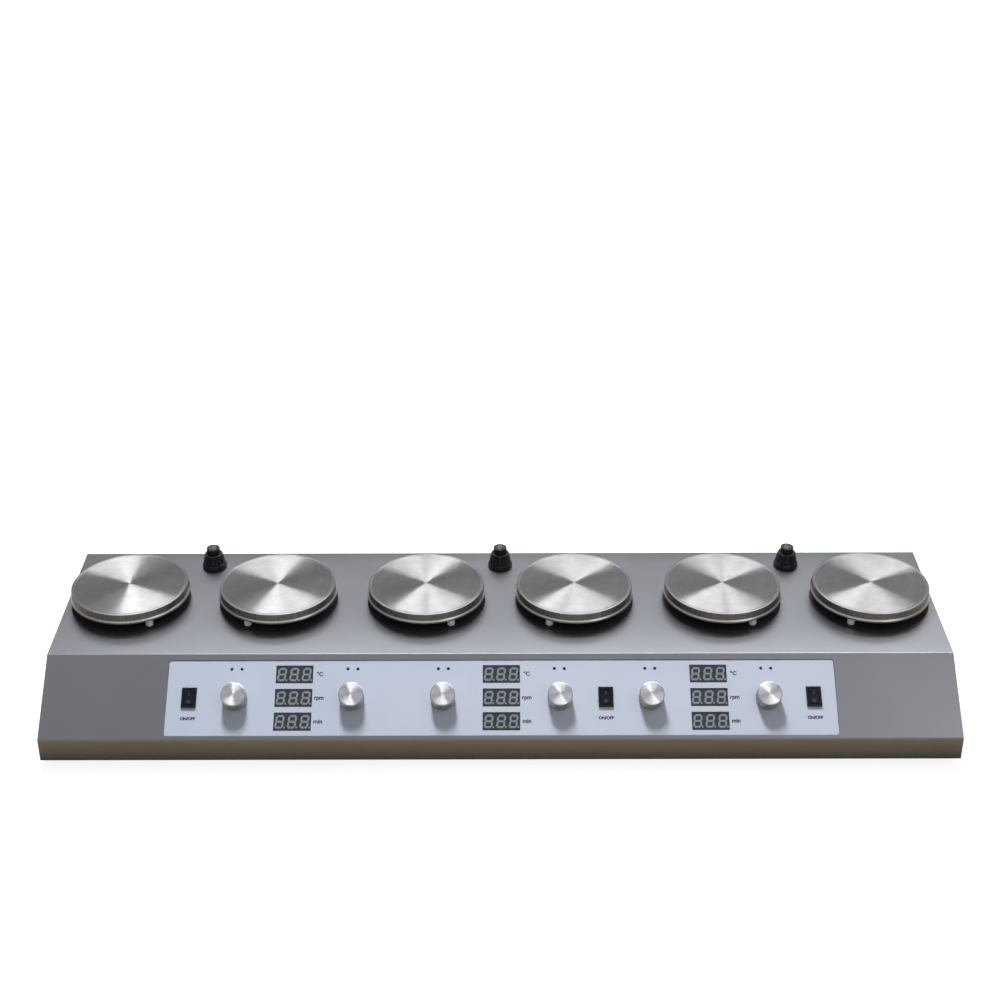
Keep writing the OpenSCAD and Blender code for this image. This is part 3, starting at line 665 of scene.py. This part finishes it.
black_gloss = grained(
    "black_moulding", {"Specular IOR Level": 0.28}, light=(0.008, 0.010, 0.015), dark=(0.005, 0.006, 0.010),
    rough=(0.28, 0.36), grain_mm=0.4, depth_mm=0.006, cloud_mm=6.0)
rocker_ink = grained(
    "rocker_ink", {"Specular IOR Level": 0.3}, light=(0.12, 0.13, 0.15), dark=(0.09, 0.1, 0.12),
    rough=(0.45, 0.55), grain_mm=0.3, depth_mm=0.002, cloud_mm=2.0)
groups = range(1, 4)
rocker_tilt = math.radians(8)
rocker_rise = 2.3 * MM
mark_out = 3.9 * MM
mark_t = 0.04 * MM
bar_w = 0.7 * MM
bar_h = 3.4 * MM
ring_r = 1.55 * MM
ring_w = 0.5 * MM
switch_mark_size = 4.2 * MM
switch_mark_drop = 22.0 * MM


def block(name, length, breadth, height):
    """The mesh of a plain block round its own middle."""
    work = bmesh.new()
    bmesh.ops.create_cube(work, size=1, matrix=Matrix.Diagonal((length, breadth, height, 1)))
    return to_mesh(work, name)


on_bar = block("on_bar", bar_w, bar_h, 2 * mark_t)
ring_outline = [
    (ring_r - ring_w, -mark_t), (ring_r, -mark_t), (ring_r, mark_t), (ring_r - ring_w, mark_t)]
off_ring = lathe("off_ring", ring_outline, sides=40, closed=True)
softened("switch_bodies", "switch_bezels", black_gloss, radius_mm=0.45, segments=3)
for number in groups:
    softened(f"rocker_{number}", f"rocker_cap_{number}", black_gloss, radius_mm=0.4, segments=3)
    pivot_at = Vector(joints[f"switch_{number}_tip"]["pos_m"])
    leaning = Matrix.Translation(pivot_at) @ panel_turn @ Matrix.Rotation(rocker_tilt, 4, "X")
    for mark_name, mark_mesh, side in (("on_bar", on_bar, 1), ("off_ring", off_ring, -1)):
        on_rocker = Matrix.Translation((0, side * mark_out, rocker_rise + mark_out * math.tan(rocker_tilt)))
        wing_tilt = Matrix.Rotation(side * rocker_tilt, 4, "X")
        mark = new_piece(f"{mark_name}_{number}", mark_mesh.copy(), leaning @ on_rocker @ wing_tilt)
        mark.data.materials.append(rocker_ink)
        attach(mark, f"switch_rocker_{number}")
    printed(f"switch_mark_{number}", "ON/OFF", switch_mark_size, on_panel(pivot_at.x, -switch_mark_drop))


# Knobs
# Six plain round knobs turned from aluminium bar: the face and the side show the fine rings of the
# lathe, and the front edge has a narrow polished chamfer. Each is pressed on its encoder's shaft.

def vector_node(tree, operation, *values):
    """A node for one sum on vectors or other nodes' outputs."""
    return add(tree, "VectorMath", dict(enumerate(values)), operation=operation)


def turned_rings():
    """Rings round Z, arcs along them, smears and upright streaks, from 0 to 1. Sizes in millimetres."""
    arc_stretch = 0.3
    arcs_round = (2.5, 2.5, 0)
    streaks_round = 22.0
    tree, given, result = effect(
        "turned_rings", {"Pitch": 0.3, "Smear size": 25.0}, ["Rings", "Arcs", "Smears", "Streaks"])
    place = add(tree, "TexCoord").outputs["Object"]
    flat = vector_node(tree, "MULTIPLY", place, (1, 1, 0)).outputs[0]
    radius = vector_node(tree, "LENGTH", flat).outputs["Value"]
    height = add(tree, "SeparateXYZ", {0: place}).outputs["Z"]
    track = math_node(tree, "SUBTRACT", radius, height)
    ring_scale = math_node(tree, "DIVIDE", 1 / MM, given.outputs["Pitch"])
    rings = add(tree, "TexNoise", {"W": track, "Scale": ring_scale, "Detail": 3.0}, noise_dimensions="1D")
    heading = vector_node(tree, "NORMALIZE", flat).outputs[0]
    arc_track = math_node(tree, "MULTIPLY", track, math_node(tree, "MULTIPLY", ring_scale, arc_stretch))
    arc_height = add(tree, "CombineXYZ", {"Z": arc_track}).outputs[0]
    arc_place = vector_node(tree, "MULTIPLY_ADD", heading, arcs_round, arc_height).outputs[0]
    arcs = add(tree, "TexNoise", {"Vector": arc_place, "Scale": 1.0, "Detail": 2.0})
    smear_scale = math_node(tree, "DIVIDE", 1 / MM, given.outputs["Smear size"])
    smears = add(tree, "TexNoise", {"Vector": place, "Scale": smear_scale, "Detail": 5.0, "Roughness": 0.65})
    streaks = add(tree, "TexNoise", {
        "Vector": heading, "Scale": streaks_round, "Detail": 3.0, "Roughness": 0.6})
    for name, noise in (("Rings", rings), ("Arcs", arcs), ("Smears", smears), ("Streaks", streaks)):
        plug(result, {name: stretched(tree, noise)})
    return tree


rings_effect = turned_rings()


def turned_metal(name, light, dark, rough, pitch_mm, depth_mm, smear_mm, anisotropy=1.0, blotch="Smears"):
    """Metal turned on a lathe: it spreads highlights across its rings, more in the rougher ones."""
    across_the_rings = 0.25
    arc_share = 0.2
    ring_share = 0.1
    blotch_share = 0.7
    made, tree, shader = finish(name, {
        "Metallic": 1.0, "Anisotropic": anisotropy, "Anisotropic Rotation": across_the_rings})
    marks = placed(tree, rings_effect, {"Pitch": pitch_mm, "Smear size": smear_mm}).outputs
    ring_tone = math_node(tree, "MULTIPLY", marks["Rings"], ring_share)
    line_tone = math_node(tree, "MULTIPLY_ADD", marks["Arcs"], arc_share, ring_tone)
    tone = math_node(tree, "MULTIPLY_ADD", marks[blotch], blotch_share, line_tone)
    plug(shader, {
        "Base Color": tint(tree, tone, dark, light),
        "Roughness": between(tree, marks["Arcs"], *rough),
        "Normal": relief(tree, marks["Rings"], depth_mm),
        "Tangent": add(tree, "Tangent", direction_type="RADIAL", axis="Z").outputs["Tangent"]})
    return made


knob_face = turned_metal(
    "knob_aluminium", light=(0.80, 0.815, 0.86), dark=(0.65, 0.662, 0.70), rough=(0.32, 0.36),
    pitch_mm=0.5, depth_mm=0.0015, smear_mm=6.0)
# The side is the same aluminium as the face, painted much darker: painted shade standing in for the shaded
# panel that the side mirrors.
knob_side_painted_dark = turned_metal(
    "knob_side_painted_dark", light=(0.46, 0.46, 0.47), dark=(0.30, 0.30, 0.31), rough=(0.26, 0.32),
    pitch_mm=0.5, depth_mm=0.002, smear_mm=6.0)
knob_finishes = [knob_face, knob_side_painted_dark]
knob_chamfer = 0.7
knob_foot_round = 0.3
knob_edge_round = 0.2
knob_cap_t = 2.7
nut_space_r = 7.8
nut_space_h = 3.6
shaft_r = 3.05
flat_guard = 0.4
face_from_up = 0.4
for number in stations:
    knob_points = solids(f"knob_{number}")[0]
    axis_at = Vector(joints[f"knob_{number}_turn"]["pos_m"])
    knob_r = (span(knob_points, along_panel)[1] - axis_at.x) / MM
    foot, top = ((reach - axis_at.dot(out_of_panel)) / MM for reach in span(knob_points, out_of_panel))
    face_r = knob_r - knob_chamfer
    bore_top = top - knob_cap_t
    nut_space_top = foot + nut_space_h
    knob_outline = rounded([
        (0, bore_top, 0), (shaft_r, bore_top, 0), (shaft_r, nut_space_top, 0),
        (nut_space_r, nut_space_top, 0), (nut_space_r, foot, 0), (knob_r, foot, knob_foot_round),
        (knob_r, top - knob_chamfer, knob_edge_round), (face_r, top, knob_edge_round),
        (face_r - flat_guard, top, 0), (0, top, 0)])
    knob_mesh = lathe("turned_knob", knob_outline, sides=96)
    knob = new_piece(f"turned_knob_{number}", knob_mesh, Matrix.Translation(axis_at) @ panel_turn)
    dress(knob, f"knob_{number}", *knob_finishes)
    for polygon in knob_mesh.polygons:
        if polygon.normal.z <= face_from_up:
            polygon.material_index = knob_finishes.index(knob_side_painted_dark)


# Stirring motors and power supply
# Under each plate stands a flat motor: a die-cast base with a bearing tube, a varnished copper coil,
# and a steel bell that carries two plated magnets. A folded alloy case holds the power supply. They
# show only with the base plate off.

copper_coil = grained(
    "varnished_copper", {"Metallic": 0.8, "Coat Weight": 0.5}, light=(0.62, 0.28, 0.12),
    dark=(0.45, 0.19, 0.08), rough=(0.3, 0.4), grain_mm=0.6, depth_mm=0.08, cloud_mm=6.0)
nickel = grained(
    "nickel_plate", {"Metallic": 1.0}, light=(0.58, 0.56, 0.53), dark=(0.48, 0.47, 0.45), rough=(0.18, 0.3),
    grain_mm=0.5, depth_mm=0.004, cloud_mm=8.0)
folded_alloy = grained(
    "folded_alloy", {"Metallic": 1.0}, light=(0.6, 0.6, 0.6), dark=(0.5, 0.5, 0.51), rough=(0.35, 0.5),
    grain_mm=0.8, depth_mm=0.01, cloud_mm=30.0)
coat("motor_bases", cast_alloy)
coat("stator_coils", copper_coil)
coat("power_supply", folded_alloy)
for number in stations:
    coat(f"rotor_bell_{number}", ground_steel)
    coat(f"drive_magnets_{number}", nickel)


# Heat shields, ceramic posts and heaters
# A matt black disc lies on the deck under each plate, and three white ceramic posts on each disc
# carry the plate. The disc's near-black stands partly for the plate's shade on the deck: painted shade.
# Long screws run up through deck, disc and post into the plate, under which lie a fired heating
# element and a brass temperature sensor.

shield_black_and_shade = grained(
    "shield_black_and_shade", {"Specular IOR Level": 0.25}, light=(0.036, 0.036, 0.037), dark=(0.024, 0.024, 0.025),
    rough=(0.6, 0.75), grain_mm=0.6, depth_mm=0.02, cloud_mm=20.0)
steatite = grained(
    "steatite", {"Coat Weight": 0.2, "Subsurface Weight": 0.05}, light=(0.94, 0.94, 0.92),
    dark=(0.88, 0.87, 0.84), rough=(0.35, 0.5), grain_mm=0.4, depth_mm=0.008, cloud_mm=6.0)
heater_ceramic = grained(
    "heater_ceramic", {"Specular IOR Level": 0.3}, light=(0.52, 0.44, 0.33), dark=(0.42, 0.35, 0.26),
    rough=(0.7, 0.85), grain_mm=0.9, depth_mm=0.05, cloud_mm=20.0)
plain_brass = grained(
    "plain_brass", {"Metallic": 1.0}, light=(0.72, 0.53, 0.25), dark=(0.6, 0.43, 0.2), rough=(0.25, 0.4),
    grain_mm=0.4, depth_mm=0.006, cloud_mm=8.0)
softened("heat_shields", "shield_discs", shield_black_and_shade, radius_mm=0.3)
post_bore_r = 2.2
post_foot_round = 0.7
post_top_round = 0.5
for number, points in enumerate(solids("ceramic_posts"), 1):
    post_r, post_h = round_sizes(points)
    post_outline = rounded([
        (post_bore_r, 0, 0), (post_r, 0, post_foot_round), (post_r, post_h, post_top_round),
        (post_bore_r, post_h, 0)])
    post_mesh = lathe("ceramic_post", post_outline, sides=48, closed=True)
    dress(new_piece(f"ceramic_post_{number}", post_mesh, standing_at(points)), "ceramic_posts", steatite)
coat("post_screws", zinc)
coat("heating_elements", heater_ceramic)
coat("temperature_sensors", plain_brass)


# Hotplates
# Six heavy discs of stainless steel, faced on the lathe to a slight crown: fine rings over the whole
# face, a fine groove inside the rim, a plain wall whose dark brownish tone and upright streaks are
# painted reflection, and a bead round the foot.

plate_face = turned_metal(
    "turned_plate", light=(0.94, 0.94, 0.94), dark=(0.68, 0.68, 0.67), rough=(0.31, 0.34),
    pitch_mm=0.7, depth_mm=0.003, smear_mm=26.0)
plate_rim = turned_metal(
    "plate_rim", light=(0.80, 0.80, 0.79), dark=(0.62, 0.62, 0.61), rough=(0.36, 0.40),
    pitch_mm=0.5, depth_mm=0.004, smear_mm=20.0, anisotropy=0.65)
# The wall is the plate's steel painted dark and brownish, with upright streaks: painted reflection of the
# dark deck and warm surroundings in front of it.
plate_wall_painted_dark = turned_metal(
    "plate_wall_painted_dark", light=(0.285, 0.275, 0.255), dark=(0.165, 0.158, 0.145), rough=(0.26, 0.32),
    pitch_mm=0.6, depth_mm=0.004, smear_mm=7.0, blotch="Streaks")
plate_finishes = [plate_face, plate_rim, plate_wall_painted_dark]
bead_out = 1.5
bead_h = 1.8
bead_foot_round = 0.5
bead_top_round = 0.6
wall_foot_round = 0.4
rim_w = 3.6
rim_edge_round = 0.8
rim_groove_w = 0.8
rim_groove = 0.5
groove_edge_round = 0.5
groove_floor_round = 0.05
wall_from_up = 0.6
crown = 0.7
crown_rings = 6
for number, points in enumerate(solids("hotplates"), 1):
    bead_r, plate_t = round_sizes(points)
    wall_r = bead_r - bead_out
    face_r = wall_r - rim_w
    rim_top = plate_t - crown
    crowned_face = [
        ((face_r - flat_guard) * k / crown_rings, plate_t - crown * (k / crown_rings) ** 2, 0)
        for k in range(crown_rings, -1, -1)]
    plate_outline = rounded([
        (0, 0, 0), (bead_r, 0, bead_foot_round), (bead_r, bead_h, bead_top_round),
        (wall_r, bead_h + bead_out, wall_foot_round), (wall_r, rim_top, rim_edge_round),
        (face_r + rim_groove_w, rim_top, groove_edge_round),
        (face_r + rim_groove_w / 2, rim_top - rim_groove, groove_floor_round),
        (face_r, rim_top, groove_floor_round), *crowned_face])
    plate_mesh = lathe("hotplate", plate_outline, sides=160)
    dress(new_piece(f"hotplate_{number}", plate_mesh, standing_at(points)), "hotplates", *plate_finishes)
    for polygon in plate_mesh.polygons:
        if polygon.normal.z < wall_from_up:
            polygon.material_index = plate_finishes.index(plate_wall_painted_dark)
        elif polygon.center.xy.length > face_r * MM:
            polygon.material_index = plate_finishes.index(plate_rim)


# Rod holders
# Three black clamps for support rods at the back of the deck: a moulded foot, a fluted nut that
# narrows upwards, and a split collet with a bare metal bore. Turning the nut closes the collet.

black_matt = grained(
    "black_grip", {"Specular IOR Level": 0.5}, light=(0.014, 0.014, 0.016), dark=(0.009, 0.009, 0.011),
    rough=(0.34, 0.46), grain_mm=0.5, depth_mm=0.012, cloud_mm=10.0)
bare_bore = grained(
    "bare_bore", {"Metallic": 0.4}, light=(0.80, 0.81, 0.83), dark=(0.66, 0.67, 0.70), rough=(0.45, 0.6),
    grain_mm=0.5, depth_mm=0.006, cloud_mm=6.0)
collet_finishes = [black_matt, bare_bore]
softened("rod_holders", "rod_holder_feet", black_matt, radius_mm=0.8, segments=3)
collets = softened("rod_collets", "split_collets", *collet_finishes, radius_mm=0.12).data
holder_axes = [Vector(joints[f"rod_nut_{number}_turn"]["pos_m"]) for number in groups]
bore_limit = 4.5 * MM
for polygon in collets.polygons:
    corners = [collets.vertices[vertex].co for vertex in polygon.vertices]
    if min(max((corner - axis).xy.length for corner in corners) for axis in holder_axes) < bore_limit:
        polygon.material_index = collet_finishes.index(bare_bore)

nut_foot_r = 12.0
nut_shoulder_r = 9.7
nut_neck_r = 8.05
nut_neck_top = 14.7
nut_foot_round = 0.5
nut_shoulder_round = 0.9
nut_mouth_round = 0.3
nut_side_steps = 8
collet_r = 5.75
flutes = 10
flute_depth = 0.6 * MM
flute_fade = 2.4 * MM
flute_below_top = 2.0
flute_inside = 0.6
flute_narrowness = 1.5
nut_foot, nut_top = (
    (reach - holder_axes[0].z) / MM for reach in span(solids("grip_nut_1")[0], Vector((0, 0, 1))))


def flute(turn, radius, height):
    """Scoops rounded flutes into the nut's side, running out below its shoulder."""
    if radius < (nut_shoulder_r - flute_inside) * MM:
        return radius
    fade = min(1.0, max(0.0, ((nut_top - flute_below_top) * MM - height) / flute_fade))
    scoop = max(0.0, math.cos(flutes * turn)) ** flute_narrowness
    return radius - flute_depth * fade * scoop


nut_side = [
    (nut_foot_r + (nut_shoulder_r - nut_foot_r) * k / nut_side_steps,
     nut_foot + (nut_top - nut_foot) * k / nut_side_steps, 0)
    for k in range(1, nut_side_steps)]
nut_outline = rounded([
    (nut_neck_r, nut_foot, 0), (nut_foot_r, nut_foot, nut_foot_round), *nut_side,
    (nut_shoulder_r, nut_top, nut_shoulder_round), (collet_r, nut_top, nut_mouth_round),
    (collet_r, nut_neck_top, 0), (nut_neck_r, nut_neck_top, 0)])
for number, axis in zip(groups, holder_axes):
    nut_mesh = lathe("fluted_nut", nut_outline, sides=160, closed=True, carve=flute)
    nut = new_piece(f"fluted_nut_{number}", nut_mesh, Matrix.Translation(axis))
    dress(nut, f"grip_nut_{number}", black_matt)


# Mains inlet
# A three-pin appliance inlet of black moulding, screwed to the back wall. Its three blades are plain
# brass.

softened("power_inlet", "inlet_body", black_matt, radius_mm=0.3)
inlet_low, inlet_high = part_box("power_inlet")
inlet_middle = (inlet_low + inlet_high) / 2
blade_t = 2.1 * MM
blade_h = 4.1 * MM
blade_l = 13.2 * MM
blade_round = 0.5 * MM
blade_pitch = 7.0 * MM
blade_offset = 2.0 * MM
blade_recess = 4.95 * MM
for number, side in enumerate((-1, 0, 1), 1):
    blade_mesh = block("inlet_blade", blade_t, blade_l, blade_h)
    blade_mesh.materials.append(plain_brass)
    blade = new_piece(f"inlet_blade_{number}", blade_mesh, Matrix.Translation((
        inlet_middle.x + side * blade_pitch, inlet_high.y - blade_recess - blade_l / 2,
        inlet_middle.z + (blade_offset if side == 0 else -blade_offset))))
    nose = blade.modifiers.new("rounded_edges", "BEVEL")
    nose.width = blade_round
    nose.segments = 3
    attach(blade, "console")


# Studio
# A floor and a room that are white to the eye, a row of overhead panels that only glossy surfaces
# show, at levels of their own for the console and the plates and with more for the knobs, a key lamp,
# soft fills, and the camera.

def eased(tree, value, start, end, low=0.0):
    """A value that eases from low to 1 as another runs from start to end."""
    node = add(tree, "MapRange", {
        "Value": value, "From Min": start, "From Max": end, "To Min": low}, interpolation_type="SMOOTHSTEP")
    return node.outputs["Result"]


def pale_floor():
    """A floor that is white to the eye but for the shadows near the object, and open from below."""
    # The eye sees a white floor, a little greyer beside the object, where its shadow falls.
    shadow_reach = 0.09
    shadow_white = 0.85
    seen_grey = (0.5, 0.5, 0.5, 1)
    # Metal mirrors the white floor only from some way off.
    mirror_start = 0.22
    mirror_end = 0.7
    # Nearer, what the eye doesn't see is a warm table top, painted nearly black right at the object's foot
    # as contact shade, with a faint glow under the object that lights its underside.
    table_reach = 0.4
    # The first stop is painted shade: the floor goes dark at the object's foot whatever light falls there.
    table_tones_with_painted_shade = [
        (0.01, (0.06, 0.06, 0.05, 1)), (0.075, (0.58, 0.42, 0.22, 1)), (0.4, (0.16, 0.13, 0.10, 1))]
    under_margin = 0.015
    under_glow = 0.45
    made, tree, shader = finish("pale_floor", {"Roughness": 0.9, "Emission Color": (1, 1, 1, 1)})
    path = add(tree, "LightPath").outputs
    seen = path["Is Camera Ray"]
    mirrored = math_node(tree, "MAXIMUM", path["Is Glossy Ray"], path["Is Transmission Ray"])
    place = add(tree, "TexCoord").outputs["Object"]
    side = vector_node(tree, "ABSOLUTE", place).outputs[0]
    past_edge = vector_node(tree, "SUBTRACT", side, cad_box[1]).outputs[0]
    outside = vector_node(tree, "MAXIMUM", past_edge, (0, 0, 0)).outputs[0]
    away = vector_node(tree, "LENGTH", outside).outputs["Value"]
    table_with_painted_shade = add(tree, "ValToRGB", {"Fac": math_node(tree, "DIVIDE", away, table_reach)})
    table_with_painted_shade.color_ramp.elements.new(0.5)
    for stop, (distance, tone) in zip(table_with_painted_shade.color_ramp.elements, table_tones_with_painted_shade):
        stop.position = distance / table_reach
        stop.color = tone
    plain = add(tree, "Mix", {"Factor": seen, "A": table_with_painted_shade.outputs["Color"], "B": seen_grey}, data_type="RGBA")
    inward = add(tree, "SeparateXYZ", {0: past_edge}).outputs
    nearest_edge = math_node(tree, "MAXIMUM", inward["X"], inward["Y"])
    under = math_node(tree, "LESS_THAN", nearest_edge, -under_margin)
    unseen_under = math_node(tree, "MULTIPLY", under, math_node(tree, "SUBTRACT", 1.0, seen))
    glow_under = math_node(tree, "MULTIPLY", unseen_under, under_glow)
    mirrored_white = eased(tree, away, mirror_start, mirror_end)
    unseen_glow = math_node(tree, "MULTIPLY_ADD", mirrored, mirrored_white, glow_under)
    seen_white = eased(tree, away, 0.0, shadow_reach, low=shadow_white)
    plug(shader, {
        "Base Color": plain.outputs["Result"],
        "Emission Strength": math_node(tree, "MULTIPLY_ADD", seen, seen_white, unseen_glow)})
    from_below = add(tree, "MixShader", {
        0: add(tree, "NewGeometry").outputs["Backfacing"], 1: shader.outputs["BSDF"],
        2: add(tree, "BsdfTransparent").outputs["BSDF"]})
    plug(tree.nodes["Material Output"], {"Surface": from_below.outputs[0]})
    return made


floor_half = 30.0
floor_drop = 0.0002
floor_corners = [
    (x * floor_half, y * floor_half, -floor_drop) for x, y in ((-1, -1), (1, -1), (1, 1), (-1, 1))]
floor_mesh = bpy.data.meshes.new("floor")
floor_mesh.from_pydata(floor_corners, [], [(0, 1, 2, 3)])
floor_mesh.materials.append(pale_floor())
floor = bpy.data.objects.new("floor", floor_mesh)
bpy.context.scene.collection.objects.link(floor)


def softbox(name, centre, size, radiance, aim=(0, 0, -1), on_gloss=True, on_matt=True, only_on=None):
    """An evenly bright panel, for glossy surfaces, matt ones or both, and for all pieces or only some."""
    lamp = bpy.data.lights.new(name, "AREA")
    lamp.shape = "RECTANGLE"
    lamp.size, lamp.size_y = size
    lamp.energy = radiance * math.pi * size[0] * size[1]
    panel = bpy.data.objects.new(name, lamp)
    bpy.context.scene.collection.objects.link(panel)
    panel.location = centre
    panel.rotation_euler = Vector(aim).to_track_quat("-Z", "Y").to_euler()
    panel.visible_glossy = on_gloss
    panel.visible_diffuse = on_matt
    panel.light_linking.receiver_collection = only_on


def light_group(name, kind, state):
    """The pieces of one kind, which some panels light alone (INCLUDE) or leave out (EXCLUDE)."""
    group = bpy.data.collections.new(name)
    for piece in bpy.data.objects:
        if piece.name.startswith(kind):
            group.objects.link(piece)
    for member in group.collection_objects:
        member.light_linking.link_state = state
    return group


all_but_plates = light_group("all_but_plates", "hotplate_", "EXCLUDE")
plates_alone = light_group("plates_alone", "hotplate_", "INCLUDE")
knobs_alone = light_group("knobs_alone", "turned_knob_", "INCLUDE")
posts_alone = light_group("posts_alone", "ceramic_post_", "INCLUDE")
panel_groups = [("room", all_but_plates), ("plate", plates_alone), ("knob", knobs_alone)]
panel_z = 2.9
panel_front = 1.2
panel_back = 1.9
# The left and right end of each overhead panel, and its level for each of the panel groups
overhead_panels = [
    (-1.13, -0.55, (9.6, 8.4, 37.0)),
    (-0.55, -0.2, (10.2, 6.6, 37.0)),
    (-0.11, 0.54, (11.2, 6.4, 40.0)),
    (0.63, 1.15, (10.6, 5.4, 27.0)),
    (1.15, 1.8, (8.6, 4.0, 11.0)),
    (1.8, 2.6, (5.4, 2.4, 2.0))]
for number, (left, right, levels) in enumerate(overhead_panels, 1):
    panel_centre = ((left + right) / 2, (panel_front + panel_back) / 2, panel_z)
    panel_size = (right - left, panel_back - panel_front)
    for (kind, group), level in zip(panel_groups, levels):
        softbox(f"{kind}_panel_{number}", panel_centre, panel_size, level, on_matt=False, only_on=group)
softbox(
    "low_panel", centre=(0.3, 0.97, 1.06), size=(2.2, 0.24), radiance=2.75, aim=(0.0, -1.0, -1.0),
    on_matt=False, only_on=all_but_plates)
softbox(
    "key_lamp", centre=(-0.33, 0.98, 2.9), size=(0.5, 0.8), radiance=82.0, aim=(0.33, -1.08, -2.84),
    on_gloss=False)
softbox("ceiling", centre=(0.0, -0.3, 4.2), size=(8.0, 6.0), radiance=0.32, on_matt=False)
softbox(
    "back_glow", centre=(0.95, 2.9, 2.35), size=(2.2, 1.1), radiance=0.06, aim=(-0.6, -2.9, -2.2),
    on_matt=False)
softbox("front_fill", centre=(0.3, -2.4, 1.4), size=(4.4, 2.4), radiance=0.28, aim=(-0.3, 2.4, -1.3))
softbox("side_fill", centre=(1.3, -0.9, 1.8), size=(0.9, 0.9), radiance=1.2, aim=(-1.3, 0.85, -1.75))
softbox(
    "post_fill", centre=(-0.2, -2.0, 0.9), size=(2.4, 0.8), radiance=0.6, aim=(0.2, 2.0, -0.8),
    on_gloss=False, only_on=posts_alone)

room = bpy.data.worlds.new("dim_room")
room.use_nodes = True
room_grey = (0.189, 0.191, 0.195)
room_white = (1, 1, 1)
room_seen = add(room.node_tree, "LightPath").outputs["Is Camera Ray"]
room_tone = tint(room.node_tree, room_seen, room_grey, room_white)
plug(room.node_tree.nodes["Background"], {"Color": room_tone, "Strength": 1.0})
bpy.context.scene.world = room

camera_pitch = math.radians(29.27)
camera_roll = math.radians(-0.12)
camera_data = bpy.data.cameras.new("camera")
camera_data.sensor_width = 36.0
camera_data.lens = 62.5
camera = bpy.data.objects.new("camera", camera_data)
camera.location = (0.0, -1.5419, 1.0957)
camera.rotation_euler = (
    Matrix.Rotation(math.pi / 2 - camera_pitch, 3, "X") @ Matrix.Rotation(camera_roll, 3, "Z")).to_euler()
bpy.context.scene.collection.objects.link(camera)
bpy.context.scene.camera = camera
bpy.context.scene.view_settings.view_transform = "Standard"
